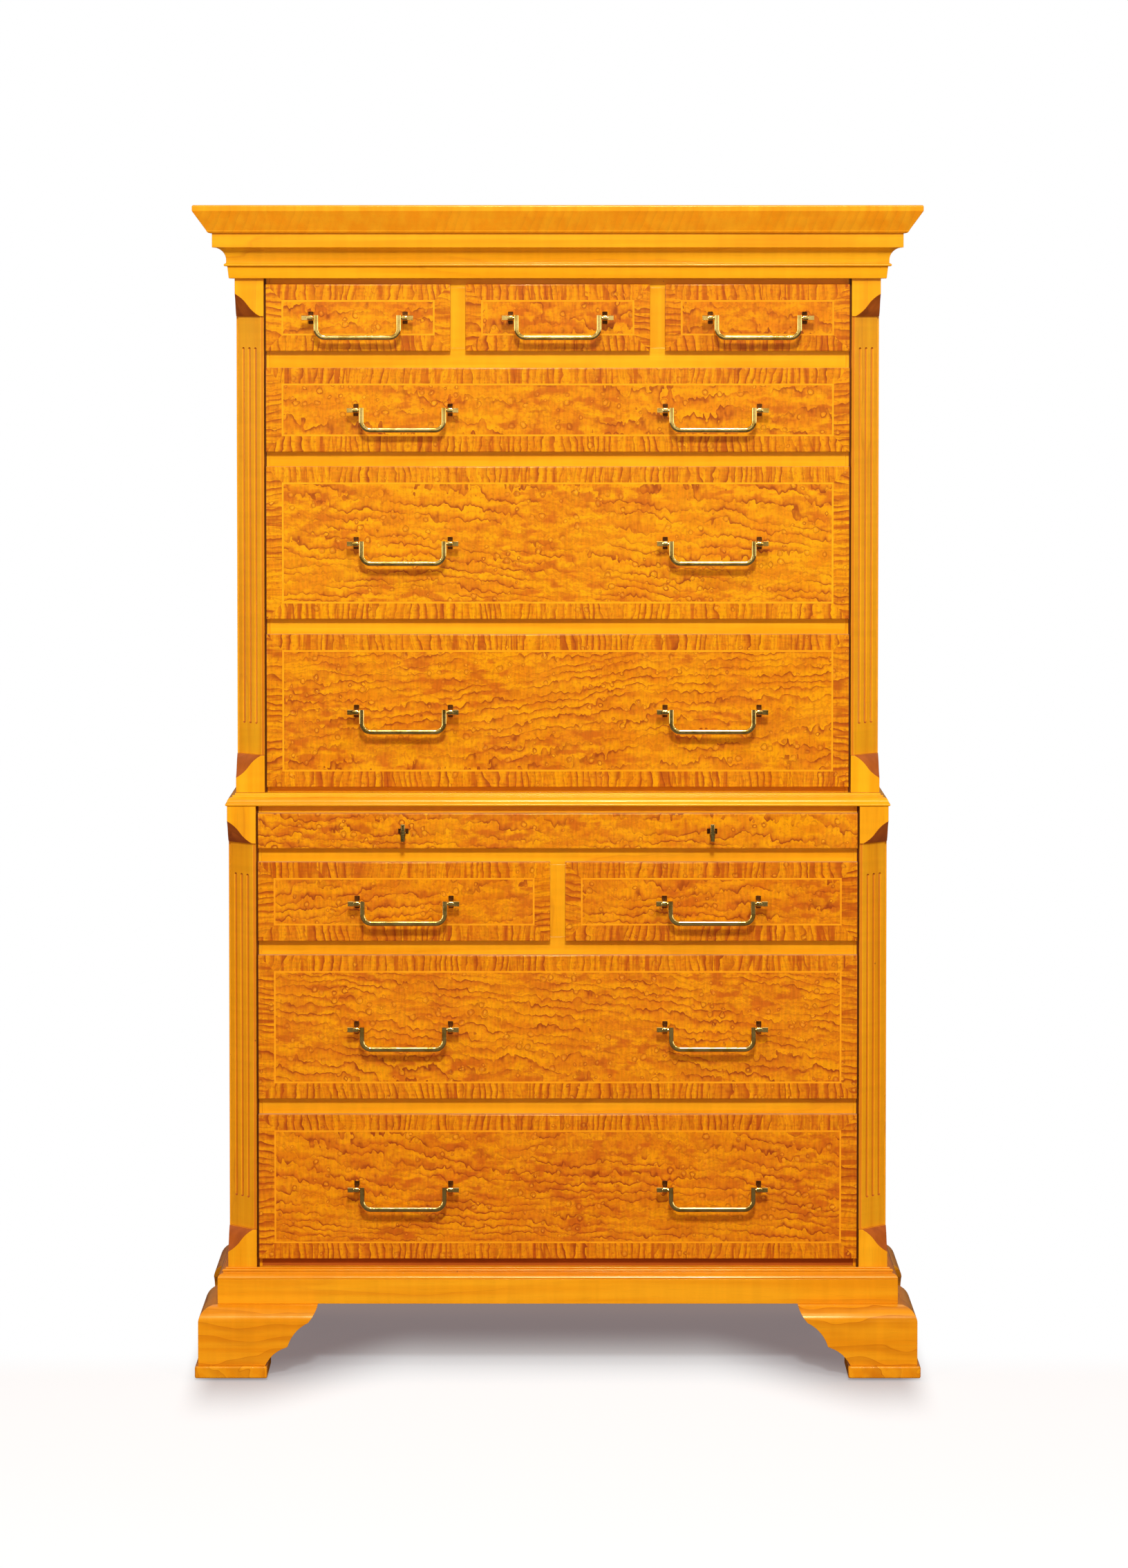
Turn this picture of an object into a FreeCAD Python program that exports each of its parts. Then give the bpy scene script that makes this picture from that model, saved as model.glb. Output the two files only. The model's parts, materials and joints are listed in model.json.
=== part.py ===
"""Chest on chest: two stacked cases of drawers on ogee bracket feet.

Frame: millimetres, +Z up, the front faces -Y, +X to the right as seen from behind the front.
The origin is on the floor, under the middle of the whole piece.
"""
import FreeCAD, Part
import os
from math import sqrt

import Sketcher
from FreeCAD import Placement, Rotation, Vector

doc = FreeCAD.newDocument("ChestOnChest")
sheet = doc.addObject("Spreadsheet::Sheet", "Size")

SIZES = {
    # plan of the cases
    "lowerWidth": 1033, "lowerDepth": 510,
    "upperWidth": 1006, "upperSetback": 14,
    "padReach": 49.5, "footReach": 44.5,
    # heights from the floor upwards: base, lower case, waist, upper case, cornice
    "glideHeight": 4, "padHeight": 19, "footHeight": 92,
    "plinthHeight": 38.7, "plinthMouldingHeight": 16.7,
    "lowerDeepTwoGap": 12.6, "lowerDeepTwoHeight": 227,
    "lowerDeepOneGap": 25, "lowerDeepOneHeight": 225.5,
    "lowerPairGap": 22.5, "lowerPairHeight": 123.5,
    "slideGap": 21.5, "slideHeight": 55,
    "lowerTopGap": 11.5, "waistHeight": 19.5,
    "upperDeepTwoGap": 9, "upperDeepTwoHeight": 239,
    "upperDeepOneGap": 24, "upperDeepOneHeight": 238,
    "upperShallowGap": 23, "upperShallowHeight": 131,
    "topRowGap": 26, "topRowHeight": 104,
    "upperTopGap": 9, "friezeHeight": 19,
    "coveHeight": 51, "crownHeight": 43,
    # case work
    "board": 19, "backThickness": 6, "coverThickness": 12,
    "columnWidth": 45, "shaftInset": 3, "cantWidth": 40, "stopEndWidth": 39,
    "stopBlock": 24, "stopCurve": 35, "stopRise": 1.3, "flutePlain": 48,
    "fluteSpacing": 14, "fluteRadius": 3.2, "fluteDepth": 2.2,
    "railSetback": 14, "railDepth": 60, "sideGap": 3.3, "dividerGap": 23.5,
    "runnerWidth": 58, "guideHeight": 25, "guideClearance": 0.8,
    # drawers
    "lip": 5, "frontSeat": 0.5, "frontInner": 8, "frontRounding": 1.5,
    "boxClearance": 1.5, "boxLift": 0.5, "boxHeadroom": 2, "boxWall": 12,
    "boxBottomRaise": 8, "boxBottom": 6, "boxBackGap": 16,
    "slideBoard": 19, "slideBoardGap": 2,
    # mouldings, as distances out from the case face
    "friezeReach": 10.7, "friezeSlope": 2, "friezeRounding": 1.5,
    "beadReach": 16.4, "smallBead": 4, "coveFootReach": 12.4, "coveRadius": 20,
    "fasciaReach": 33, "fasciaHeight": 22,
    "crownFootReach": 35, "crownFootRounding": 5, "crownReach": 62, "crownEdge": 9,
    "crownTopRounding": 2.5,
    "waistInset": 16.5, "waistReach": 3, "waistOvoloTop": 9.2, "waistStep": 3.3,
    "plinthReach": 15.8, "plinthOvolo": 8, "plinthQuirk": 2.2, "plinthBead": 4.2,
    # feet
    "padSide": 113, "padRounding": 3, "wingLength": 186, "footShoulderOut": 28.7,
    "footShoulderDrop": 23, "footShoulderRise": 7.6, "bracketThickness": 19,
    "scrollUpperX": 171.2, "scrollUpperZ": 67, "scrollUpperRise": 1.6,
    "scrollCuspX": 139.5, "scrollCuspZ": 29.6, "scrollMiddleRise": 5.2,
    "scrollStepX": 136, "scrollStepZ": 28, "scrollFootX": 104.5, "scrollLowerRise": 4.4,
    "glideRadius": 9, "glideFlat": 6,
    # brass
    "handlePitch": 146.7, "handleSpread": 241, "bailBar": 8, "bailDrop": 30.8,
    "bailOuterRadius": 16, "bailInnerRadius": 8, "bailChamfer": 1.6, "bailEnd": 9,
    "pivotRadius": 2.5, "pivotClearance": 0.05, "lugGap": 0.3, "armOffset": 9.2,
    "postWidth": 8, "postStandOff": 26, "postNose": 4, "postChamfer": 1,
    "plateWidth": 8, "plateHeight": 19, "plateThickness": 2,
    "knobBarHeight": 28, "knobBarWidth": 6.5, "knobPlateWidth": 16, "knobPlateHeight": 8,
}
for row, (alias, value) in enumerate(SIZES.items(), start=1):
    sheet.set(f"A{row}", alias)
    sheet.set(f"B{row}", str(value))
    sheet.setAlias(f"B{row}", alias)
doc.recompute()

QUARTER = 1 - sqrt(0.5)   # rise of a quarter circle over its chord, for a radius of 1
DIAGONAL = sqrt(0.5)      # distance of a 45 degree cut from the corner, for a leg of 1
nodes = []


# ---------------------------------------------------------------- helpers

def number(formula):
    """The present value of a formula over the sheet."""
    return float(sheet.evalExpression(formula))


def total(*parts):
    """A formula that adds levels and cells; a plain word is a cell."""
    return "(" + " + ".join(part if "." in part else f"Size.{part}" for part in parts) + ")"


def place(piece, x="0", y="0", z="0", turn=0):
    """Put a piece at a point given by three formulas, turned about Z in degrees."""
    piece.Placement = Placement(Vector(0, 0, 0), Rotation(Vector(0, 0, 1), turn))
    for axis, formula in zip("xyz", (x, y, z)):
        piece.setExpression(f"Placement.Base.{axis}", formula)
    return piece


def board(name, x, y, z):
    """A square-edged board between a low and a high formula on each axis."""
    box = doc.addObject("Part::Box", name)
    for side, axis, (low, high) in zip(("Length", "Width", "Height"), "xyz", (x, y, z)):
        box.setExpression(side, f"({high}) - ({low})")
        box.setExpression(f"Placement.Base.{axis}", low)
    return box


def opposite(span):
    """The span on the other side of the middle plane."""
    low, high = span
    return f"-({high})", f"-({low})"


def board_pair(name, x, y, z):
    """The same board on the right and on the left."""
    return [board(name + "_right", x, y, z), board(name + "_left", opposite(x), y, z)]


def mirror(name, piece, normal=(1, 0, 0), base=("0", "0")):
    """A piece mirrored in an upright plane through a point of the plan."""
    copy = doc.addObject("Part::Mirroring", name)
    copy.Source = piece
    copy.Normal = Vector(*normal)
    copy.setExpression("Base.x", base[0])
    copy.setExpression("Base.y", base[1])
    return copy


def combine(kind, name, pieces):
    """A Part::MultiFuse, Part::MultiCommon or Part::Compound of some pieces."""
    whole = doc.addObject(kind, name)
    if kind == "Part::Compound":
        whole.Links = pieces
    else:
        whole.Shapes = pieces
    return whole


def node(label, pieces):
    """A named sub-part: one piece as it is, or a group of separate solids."""
    whole = pieces[0] if len(pieces) == 1 else combine("Part::Compound", label, pieces)
    whole.Label = label
    nodes.append(whole)


def flipped(corners):
    """An outline with its first coordinate reversed."""
    return [(f"-({c[0]})", c[1]) + tuple(f"-({rise})" for rise in c[2:]) for c in corners]


def pin(sketch, edge, end, axis, formula):
    """Hold one end of an edge at a distance from the sketch's origin."""
    value = number(formula)
    if abs(value) < 1e-7:
        on_axis = -2 if axis == "X" else -1
        sketch.addConstraint(Sketcher.Constraint("PointOnObject", edge, end, on_axis))
        return
    index = sketch.addConstraint(
        Sketcher.Constraint("Distance" + axis, -1, 1, edge, end, value))
    sketch.setExpression(f"Constraints[{index}]", formula)


def outline(body, role, name, corners):
    """A closed, fully held sketch on an origin plane of its body.

    A corner is (x, y), or (x, y, rise) where the edge that leaves it is an arc standing the
    rise to the left of its chord, or to the right if the rise is negative."""
    sketch = body.newObject("Sketcher::SketchObject", name)
    plane = next(part for part in body.Origin.OriginFeatures if part.Role == role)
    sketch.AttachmentSupport = [(plane, "")]
    sketch.MapMode = "FlatFace"
    points = [Vector(number(corner[0]), number(corner[1]), 0) for corner in corners]
    after = [(i + 1) % len(corners) for i in range(len(corners))]
    for i, corner in enumerate(corners):
        start, end = points[i], points[after[i]]
        edge = Part.LineSegment(start, end)
        if len(corner) == 3:
            across = Vector(start.y - end.y, end.x - start.x, 0).normalize()
            edge = Part.Arc(start, (start + end) / 2 + across * number(corner[2]), end)
        sketch.addGeometry(edge, False)
    first = [1 if sketch.getPoint(i, 1).isEqual(points[i], 1e-6) else 2 for i in range(len(points))]
    for i, corner in enumerate(corners):
        j = after[i]
        sketch.addConstraint(Sketcher.Constraint("Coincident", i, 3 - first[i], j, first[j]))
        pin(sketch, i, first[i], "X", corner[0])
        pin(sketch, i, first[i], "Y", corner[1])
    for i, corner in enumerate(corners):
        if len(corner) == 3:
            wide, high = (f"({corners[after[i]][k]}) - ({corner[k]})" for k in (0, 1))
            rise = f"abs({corner[2]})"
            radius = f"(({wide})^2 + ({high})^2) / (8 * {rise}) + {rise} / 2"
            index = sketch.addConstraint(Sketcher.Constraint("Radius", i, number(radius)))
            sketch.setExpression(f"Constraints[{index}]", radius)
    return sketch


def pad(body, name, sketch, length, way="Symmetric"):
    """Thicken a sketch both ways, forwards along its normal, or backwards."""
    feature = body.newObject("PartDesign::Pad", name)
    feature.Profile = sketch
    feature.SideType = "Symmetric" if way == "Symmetric" else "One side"
    feature.Reversed = way == "Backwards"
    feature.setExpression("Length", length)
    return feature


def prism(name, role, corners, length, way="Symmetric"):
    """A body with one outline and one pad."""
    body = doc.addObject("PartDesign::Body", name)
    pad(body, name + "_pad", outline(body, role, name + "_outline", corners), length, way)
    return body


def rectangle(x, y):
    """The corners of a rectangle between two spans."""
    return [(x[0], y[0]), (x[1], y[0]), (x[1], y[1]), (x[0], y[1])]


def middle_span(half):
    """A span of a half-width each way."""
    return f"-({half})", half


def ease_edges(body, name, kind, size, chosen):
    """Round or chamfer the edges of the body's last feature that pass a test."""
    doc.recompute()
    base = body.Tip
    edges = [f"Edge{i}" for i, edge in enumerate(base.Shape.Edges, start=1) if chosen(edge)]
    feature = body.newObject("PartDesign::" + kind, name)
    feature.Base = (base, edges)
    feature.setExpression("Radius" if kind == "Fillet" else "Size", size)
    return feature


def edge_lies_at(axis, level):
    """A test for edges whose two ends are at one level of an axis."""
    return lambda edge: all(abs(getattr(v.Point, axis) - level) < 1e-6 for v in edge.Vertexes)


# ---------------------------------------------------------------- levels and planes

LOWER_HALF = "(Size.lowerWidth / 2)"
UPPER_HALF = "(Size.upperWidth / 2)"
BACK = "((Size.lowerDepth + Size.padReach) / 2)"
LOWER_FRONT = f"({BACK} - Size.lowerDepth)"
UPPER_FRONT = f"({LOWER_FRONT} + Size.upperSetback)"
PAD_TOP = total("glideHeight", "padHeight")
PLINTH_LOW = total(PAD_TOP, "footHeight")
PLINTH_HIGH = total(PLINTH_LOW, "plinthHeight")
BASE_TOP = total(PLINTH_HIGH, "plinthMouldingHeight")


def stacked(start, prefixes):
    """The low and high levels of drawer rows stacked upwards with their gaps."""
    levels = []
    for prefix in prefixes:
        low = total(start, prefix + "Gap")
        start = total(low, prefix + "Height")
        levels.append((low, start))
    return levels


LOWER_ROWS = stacked(BASE_TOP, ["lowerDeepTwo", "lowerDeepOne", "lowerPair", "slide"])
LOWER_TOP = total(LOWER_ROWS[-1][1], "lowerTopGap")
WAIST_TOP = total(LOWER_TOP, "waistHeight")
UPPER_ROWS = stacked(WAIST_TOP, ["upperDeepTwo", "upperDeepOne", "upperShallow", "topRow"])
FRIEZE_LOW = total(UPPER_ROWS[-1][1], "upperTopGap")
FRIEZE_HIGH = total(FRIEZE_LOW, "friezeHeight")
CROWN_LOW = total(FRIEZE_HIGH, "coveHeight")
CORNICE_TOP = total(CROWN_LOW, "crownHeight")


class Case:
    """The planes of one case, and the halves of its openings."""

    def __init__(self, name, half, front, low, high, rows):
        self.name, self.half, self.front = name, half, front
        self.low, self.high, self.rows = low, high, rows
        self.rail_front = f"({front} + Size.railSetback)"
        self.rail_back = f"({self.rail_front} + Size.railDepth)"
        self.inside_back = f"({BACK} - Size.backThickness)"
        self.inner_half = f"({half} - Size.board)"
        self.column_edge = f"({half} - Size.columnWidth)"
        self.front_half = f"({self.column_edge} - Size.sideGap)"
        self.opening_half = f"({self.front_half} - Size.lip)"

    def drawer_centre(self, count, index):
        """The middle and half-width of one front in a row of several."""
        half = f"(({self.front_half} * 2 - {count - 1} * Size.dividerGap) / {2 * count})"
        return f"({index - (count - 1) / 2} * (2 * {half} + Size.dividerGap))", half


LOWER = Case("lower", LOWER_HALF, LOWER_FRONT, PLINTH_LOW, LOWER_TOP, LOWER_ROWS)
UPPER = Case("upper", UPPER_HALF, UPPER_FRONT, WAIST_TOP, FRIEZE_HIGH, UPPER_ROWS)


# ---------------------------------------------------------------- mouldings

def mitred_lengths(name, case, level, profile, inset, reach):
    """A moulding in three mitred lengths along the front and both sides of a case.

    The profile is drawn as (distance out from the case face, height over the level)."""
    front_run = f"2 * ({case.half} + {reach})"
    side_run = f"2 * ({BACK} - {case.front} + {reach})"
    front = prism(name + "_front_profile", "YZ_Plane", flipped(profile), front_run)
    side = prism(name + "_side_profile", "XZ_Plane", profile, side_run)
    outer, inner = f"({case.half} + {reach})", f"({case.half} - {inset})"
    height = CORNICE_TOP
    front_plan = prism(
        name + "_front_plan", "XY_Plane",
        [(f"-{outer}", f"-({reach})"), (outer, f"-({reach})"), (inner, inset), (f"-{inner}", inset)],
        height)
    side_plan = prism(
        name + "_side_plan", "XY_Plane",
        [(reach, f"-({reach})"), (reach, f"{BACK} - {case.front}"),
         (f"-({inset})", f"{BACK} - {case.front}"), (f"-({inset})", inset)],
        height)
    front_length = combine("Part::MultiCommon", name + "_front", [front, front_plan])
    side_length = combine("Part::MultiCommon", name + "_right", [side, side_plan])
    place(front_length, "0", case.front, level)
    place(side_length, case.half, case.front, level)
    return [front_length, side_length, mirror(name + "_left", side_length)]


def cornice():
    """Frieze, cove with its fascia, and crown, stacked over the upper case."""
    arris, easing = "(Size.friezeReach - Size.friezeSlope)", "Size.friezeRounding"
    frieze = [
        ("0", "0"), (f"{arris} - {easing}", "0", f"-{QUARTER} * {easing}"),
        (arris, easing), ("Size.friezeReach", "Size.friezeHeight"), ("0", "Size.friezeHeight"),
    ]
    bead, nose = "Size.smallBead", "(Size.beadReach - Size.smallBead / 2)"
    cove_top = "(Size.coveHeight - Size.fasciaHeight)"
    cove_low = f"({cove_top} - Size.coveRadius)"
    cove = [
        ("-Size.board", "0"), (nose, "0", f"-{bead} / 2.5"), (nose, bead),
        ("Size.coveFootReach", f"{bead} * 1.25"),
        ("Size.coveFootReach", cove_low, f"{QUARTER} * Size.coveRadius * 0.95"),
        (f"Size.fasciaReach - {bead} / 2", cove_top), ("Size.fasciaReach", cove_top),
        ("Size.fasciaReach", "Size.coveHeight"), ("-Size.board", "Size.coveHeight"),
    ]
    foot, top = "Size.crownFootRounding", "Size.crownTopRounding"
    crown = [
        ("-Size.board", "0"), ("Size.crownFootReach", "0", f"-{QUARTER} * {foot}"),
        (f"Size.crownFootReach + {foot} * 1.3", f"{foot} * 0.9"),
        ("Size.crownReach", "Size.crownHeight - Size.crownEdge"),
        ("Size.crownReach", f"Size.crownHeight - {top}", f"-{QUARTER} * {top}"),
        (f"Size.crownReach - {top}", "Size.crownHeight"), ("-Size.board", "Size.crownHeight"),
    ]
    lengths = mitred_lengths("frieze", UPPER, FRIEZE_LOW, frieze, "0", "Size.friezeReach")
    lengths += mitred_lengths("cove", UPPER, FRIEZE_HIGH, cove, "Size.board", "Size.fasciaReach")
    lengths += mitred_lengths("crown", UPPER, CROWN_LOW, crown, "Size.board", "Size.crownReach")
    node("cornice_moulding", lengths)


def waist():
    """The moulding on the lower case that the upper case stands in."""
    bead, ovolo = "Size.smallBead * 1.075", "Size.waistOvoloTop"
    step, inset = "Size.waistStep", "Size.waistInset"
    setback = "(Size.lowerWidth - Size.upperWidth) / 2"
    profile = [
        (f"-{inset}", "0"), ("Size.waistReach * 0.3", "0", f"-({bead}) / 2.4"),
        ("Size.waistReach * 0.3", bead),
        ("Size.waistReach * 0.1", bead, f"-{QUARTER} * {ovolo} * 0.8"),
        (f"-{ovolo} * 0.7", f"{bead} + {ovolo}"),
        (f"-{ovolo} * 0.7 - {step} / 2", f"{bead} + {ovolo}"),
        (f"-{ovolo} * 0.7 - {step} / 2", f"Size.waistHeight - {step} * 0.9"),
        (f"-({setback}) + {step} / 2", f"Size.waistHeight - {step} * 0.9"),
        (f"-({setback}) + {step} / 2", "Size.waistHeight"),
        (f"-{inset}", "Size.waistHeight"),
    ]
    node("waist_moulding",
         mitred_lengths("waist", LOWER, LOWER_TOP, profile, inset, "Size.waistReach"))


def plinth():
    """The plinth board with a stepped moulding on its top edge."""
    bead = "Size.plinthBead"
    upright = rectangle(("0", "Size.plinthReach"), ("0", "Size.plinthHeight"))
    ovolo_top = "(Size.plinthReach - Size.plinthOvolo)"
    profile = [
        ("0", "0"), ("Size.plinthReach", "0", f"-{QUARTER} * Size.plinthOvolo"),
        (ovolo_top, "Size.plinthOvolo"), (ovolo_top, "Size.plinthOvolo + Size.plinthQuirk"),
        (f"{ovolo_top} - Size.smallBead / 4", "Size.plinthOvolo + Size.plinthQuirk",
         f"-{bead} / 2.5"),
        (f"{ovolo_top} - Size.smallBead / 4", f"Size.plinthOvolo + Size.plinthQuirk + {bead}"),
        (f"{bead} * 0.8", f"Size.plinthOvolo + Size.plinthQuirk + {bead}", f"-{bead} / 8"),
        (f"{bead} * 0.8", "Size.plinthMouldingHeight"), ("0", "Size.plinthMouldingHeight"),
    ]
    lengths = mitred_lengths("plinth_board", LOWER, PLINTH_LOW, upright, "0", "Size.plinthReach")
    lengths += mitred_lengths("plinth_top", LOWER, PLINTH_HIGH, profile, "0", "Size.plinthReach")
    node("plinth_and_moulding", lengths)


# ---------------------------------------------------------------- corner columns

def columns(case, low, high):
    """Two square posts whose outer corner is canted, stopped by ogees and fluted."""
    name, width, inset = case.name + "_column", "Size.columnWidth", "Size.shaftInset"
    stop = total("stopBlock", "stopCurve")
    corner = (case.half, case.front)
    whole_x = (f"{corner[0]} - {width}", corner[0])
    whole_y = (corner[1], f"{corner[1]} + {width}")
    shaft_x = (whole_x[0], f"{corner[0]} - {inset}")
    shaft_y = (f"{corner[1]} + {inset}", whole_y[1])
    foot = board(name + "_foot", whole_x, whole_y, (case.low, f"{low} + {stop}"))
    shaft = board(name + "_shaft", shaft_x, shaft_y, (f"{low} + {stop}", f"{high} - {stop}"))
    head = board(name + "_head", whole_x, whole_y, (f"{high} - {stop}", case.high))
    post = combine("Part::MultiFuse", name + "_post", [foot, shaft, head])

    run = f"({high} - {low} - 2 * Size.stopBlock)"
    end = f"{DIAGONAL} * Size.stopEndWidth"
    face = f"{DIAGONAL} * (Size.cantWidth + {inset})"
    bottom = [("0", "0", "-Size.stopRise"),
              (f"{end} / 2", "Size.stopCurve / 2", "Size.stopRise"),
              (end, "Size.stopCurve")]
    top = [(end, f"{run} - Size.stopCurve", "Size.stopRise"),
           (f"{end} / 2", f"{run} - Size.stopCurve / 2", "-Size.stopRise"),
           ("0", run)]
    cant = ([("-Size.board", "0")] + bottom
            + [(face, "Size.stopCurve"), (face, f"{run} - Size.stopCurve")]
            + top + [("-Size.board", run)])
    cutter = [prism(name + "_cant", "XZ_Plane", cant, f"3 * {width}")]
    radius, plain = "Size.fluteRadius", "(Size.stopCurve + Size.flutePlain)"
    for index in (-1, 0, 1):
        flute = doc.addObject("PartDesign::Body", f"{name}_flute_{index + 2}")
        half = outline(flute, "XZ_Plane", flute.Name + "_outline", [
            ("0", plain, f"-{QUARTER} * {radius}"), (radius, f"{plain} + {radius}"),
            (radius, f"{run} - {plain} - {radius}", f"-{QUARTER} * {radius}"),
            ("0", f"{run} - {plain}")])
        turned = flute.newObject("PartDesign::Revolution", flute.Name + "_turned")
        turned.Profile = half
        turned.ReferenceAxis = (half, ["V_Axis"])
        place(flute, f"{face} + Size.fluteDepth - {radius}", f"{index} * Size.fluteSpacing")
        cutter.append(flute)
    cutters = combine("Part::MultiFuse", name + "_cutter", cutter)
    place(cutters, corner[0], corner[1], f"{low} + Size.stopBlock", turn=135)

    right = doc.addObject("Part::Cut", name + "_right")
    right.Base = post
    right.Tool = cutters
    node(f"{case.name}_corner_columns", [right, mirror(name + "_left", right)])


# ---------------------------------------------------------------- case boards, rails, runners

def upper_case():
    """Sides, top and bottom of the upper case, and the cover inside its cornice."""
    side_y = (f"{UPPER.front} + Size.columnWidth", BACK)
    inner_y = (UPPER.rail_back, UPPER.inside_back)
    inner = middle_span(UPPER.inner_half)
    cover_y = (f"{UPPER.front} + Size.board", BACK)
    boards = board_pair("upper_side", (UPPER.inner_half, UPPER.half), side_y,
                        (UPPER.low, UPPER.high))
    boards.append(board("upper_bottom", inner, inner_y,
                        (UPPER.low, f"{UPPER.rows[0][0]} + Size.lip")))
    boards.append(board("upper_top", inner, inner_y, (FRIEZE_LOW, FRIEZE_HIGH)))
    boards.append(board("cornice_cover", inner, cover_y,
                        (f"{CORNICE_TOP} - Size.coverThickness", CORNICE_TOP)))
    boards.append(board("cornice_back_rail", inner, (f"{BACK} - Size.board", BACK),
                        (FRIEZE_HIGH, f"{CORNICE_TOP} - Size.coverThickness")))
    node("upper_case_boards", boards)


def lower_case():
    """Sides, top and bottom of the lower case."""
    side_y = (f"{LOWER.front} + Size.columnWidth", BACK)
    inner_y = (LOWER.rail_back, LOWER.inside_back)
    inner = middle_span(LOWER.inner_half)
    top_x = middle_span(f"({LOWER.half} - Size.waistInset)")
    floor = f"({LOWER.rows[0][0]} + Size.lip)"
    boards = board_pair("lower_side", (LOWER.inner_half, LOWER.half), side_y,
                        (LOWER.low, LOWER.high))
    boards.append(board("lower_bottom", inner, inner_y, (f"{floor} - Size.board", floor)))
    boards.append(board("lower_top", top_x, (f"{LOWER.front} + Size.waistInset", BACK),
                        (LOWER_TOP, WAIST_TOP)))
    node("lower_case_boards", boards)


def backs():
    """One panel between the side boards of each case."""
    panels = [board(case.name + "_back", middle_span(case.inner_half), (case.inside_back, BACK),
                    (case.low, case.high)) for case in (LOWER, UPPER)]
    node("back_panels", panels)


def rails(case, divided):
    """Rails between the rows, stile strips beside the columns and dividers in divided rows."""
    across = middle_span(case.opening_half)
    depth = (case.rail_front, case.rail_back)
    openings = [(f"({low} + Size.lip)", f"({high} - Size.lip)") for low, high in case.rows]
    rail_low = f"({openings[0][0]} - Size.board)" if case is LOWER else case.low
    rail_high = case.high if case is LOWER else FRIEZE_LOW
    edges = [rail_low] + [level for span in openings for level in span] + [rail_high]
    pieces = [board(f"{case.name}_rail_{i // 2 + 1}", across, depth, (edges[i], edges[i + 1]))
              for i in range(0, len(edges), 2)]
    pieces += board_pair(case.name + "_stile_strip", (case.opening_half, case.column_edge),
                         depth, (rail_low, rail_high))
    for row, count in divided.items():
        for index in range(count - 1):
            left, half = case.drawer_centre(count, index)
            middle = f"({left} + {half} + Size.dividerGap / 2)"
            width = "(Size.dividerGap / 2 + Size.lip)"
            pieces.append(board(f"{case.name}_divider_{row}_{index + 1}",
                                (f"{middle} - {width}", f"{middle} + {width}"), depth,
                                openings[row]))
    if case is LOWER:
        pieces.append(board("base_rail", middle_span(case.column_edge),
                            (case.front, case.rail_back), (case.low, rail_low)))
    else:
        pieces.append(board("frieze_rail", middle_span(case.column_edge),
                            (case.front, case.rail_back), (FRIEZE_LOW, FRIEZE_HIGH)))
    node(f"{case.name}_drawer_rails", pieces)


def runners():
    """Runners under the drawers' sides, guides beside them, and kickers over the top rows."""
    pieces = []
    for case, divided, bottom_row in ((LOWER, {2: 2}, 1), (UPPER, {3: 3}, 1)):
        depth = (case.rail_back, case.inside_back)
        side = (f"({case.inner_half} - Size.runnerWidth)", case.inner_half)
        guide_x = (f"({case.opening_half} + Size.guideClearance)", case.inner_half)
        for row, (low, high) in enumerate(case.rows):
            name = f"{case.name}_runner_{row + 1}"
            floor = f"({low} + Size.lip)"
            is_slide = case is LOWER and row == 3
            if is_slide:
                floor = f"({high} - Size.lip - Size.slideBoardGap * 2 - Size.slideBoard)"
            if row >= bottom_row:
                pieces += board_pair(name, side, depth, (f"{floor} - Size.board", floor))
            if is_slide:
                continue
            guide_z = (floor, f"{floor} + Size.guideHeight")
            pieces += board_pair(name + "_guide", guide_x, depth, guide_z)
            for index in range(divided.get(row, 1) - 1):
                left, half = case.drawer_centre(divided[row], index)
                middle = f"({left} + {half} + Size.dividerGap / 2)"
                guide = "(Size.dividerGap / 2 + Size.lip - Size.guideClearance)"
                shelf = "(Size.runnerWidth * 0.75)"
                pieces.append(board(f"{name}_shared_{index + 1}",
                                    (f"{middle} - {shelf}", f"{middle} + {shelf}"), depth,
                                    (f"{floor} - Size.board", floor)))
                pieces.append(board(f"{name}_shared_guide_{index + 1}",
                                    (f"{middle} - {guide}", f"{middle} + {guide}"), depth,
                                    guide_z))
        ceiling = LOWER_TOP if case is LOWER else FRIEZE_LOW
        pieces += board_pair(case.name + "_kicker", side, depth,
                             (f"({case.rows[-1][1]} - Size.lip)", ceiling))
    node("drawer_runners", pieces)


# ---------------------------------------------------------------- feet

def scroll(height):
    """The shaped inner end of a foot's wing, from the foot's outer edge inwards."""
    inward = [("0", "0"), ("0", height), ("Size.wingLength", height, "Size.scrollUpperRise"),
              ("Size.scrollUpperX", "Size.scrollUpperZ", "-Size.scrollMiddleRise"),
              ("Size.scrollCuspX", "Size.scrollCuspZ"),
              ("Size.scrollStepX", "Size.scrollStepZ", "-Size.scrollLowerRise"),
              ("Size.scrollFootX", "0")]
    return [(f"Size.footReach - ({corner[0]})",) + corner[1:-1 if len(corner) == 3 else 2]
            + tuple(f"-({rise})" for rise in corner[2:]) for corner in inward]


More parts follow.
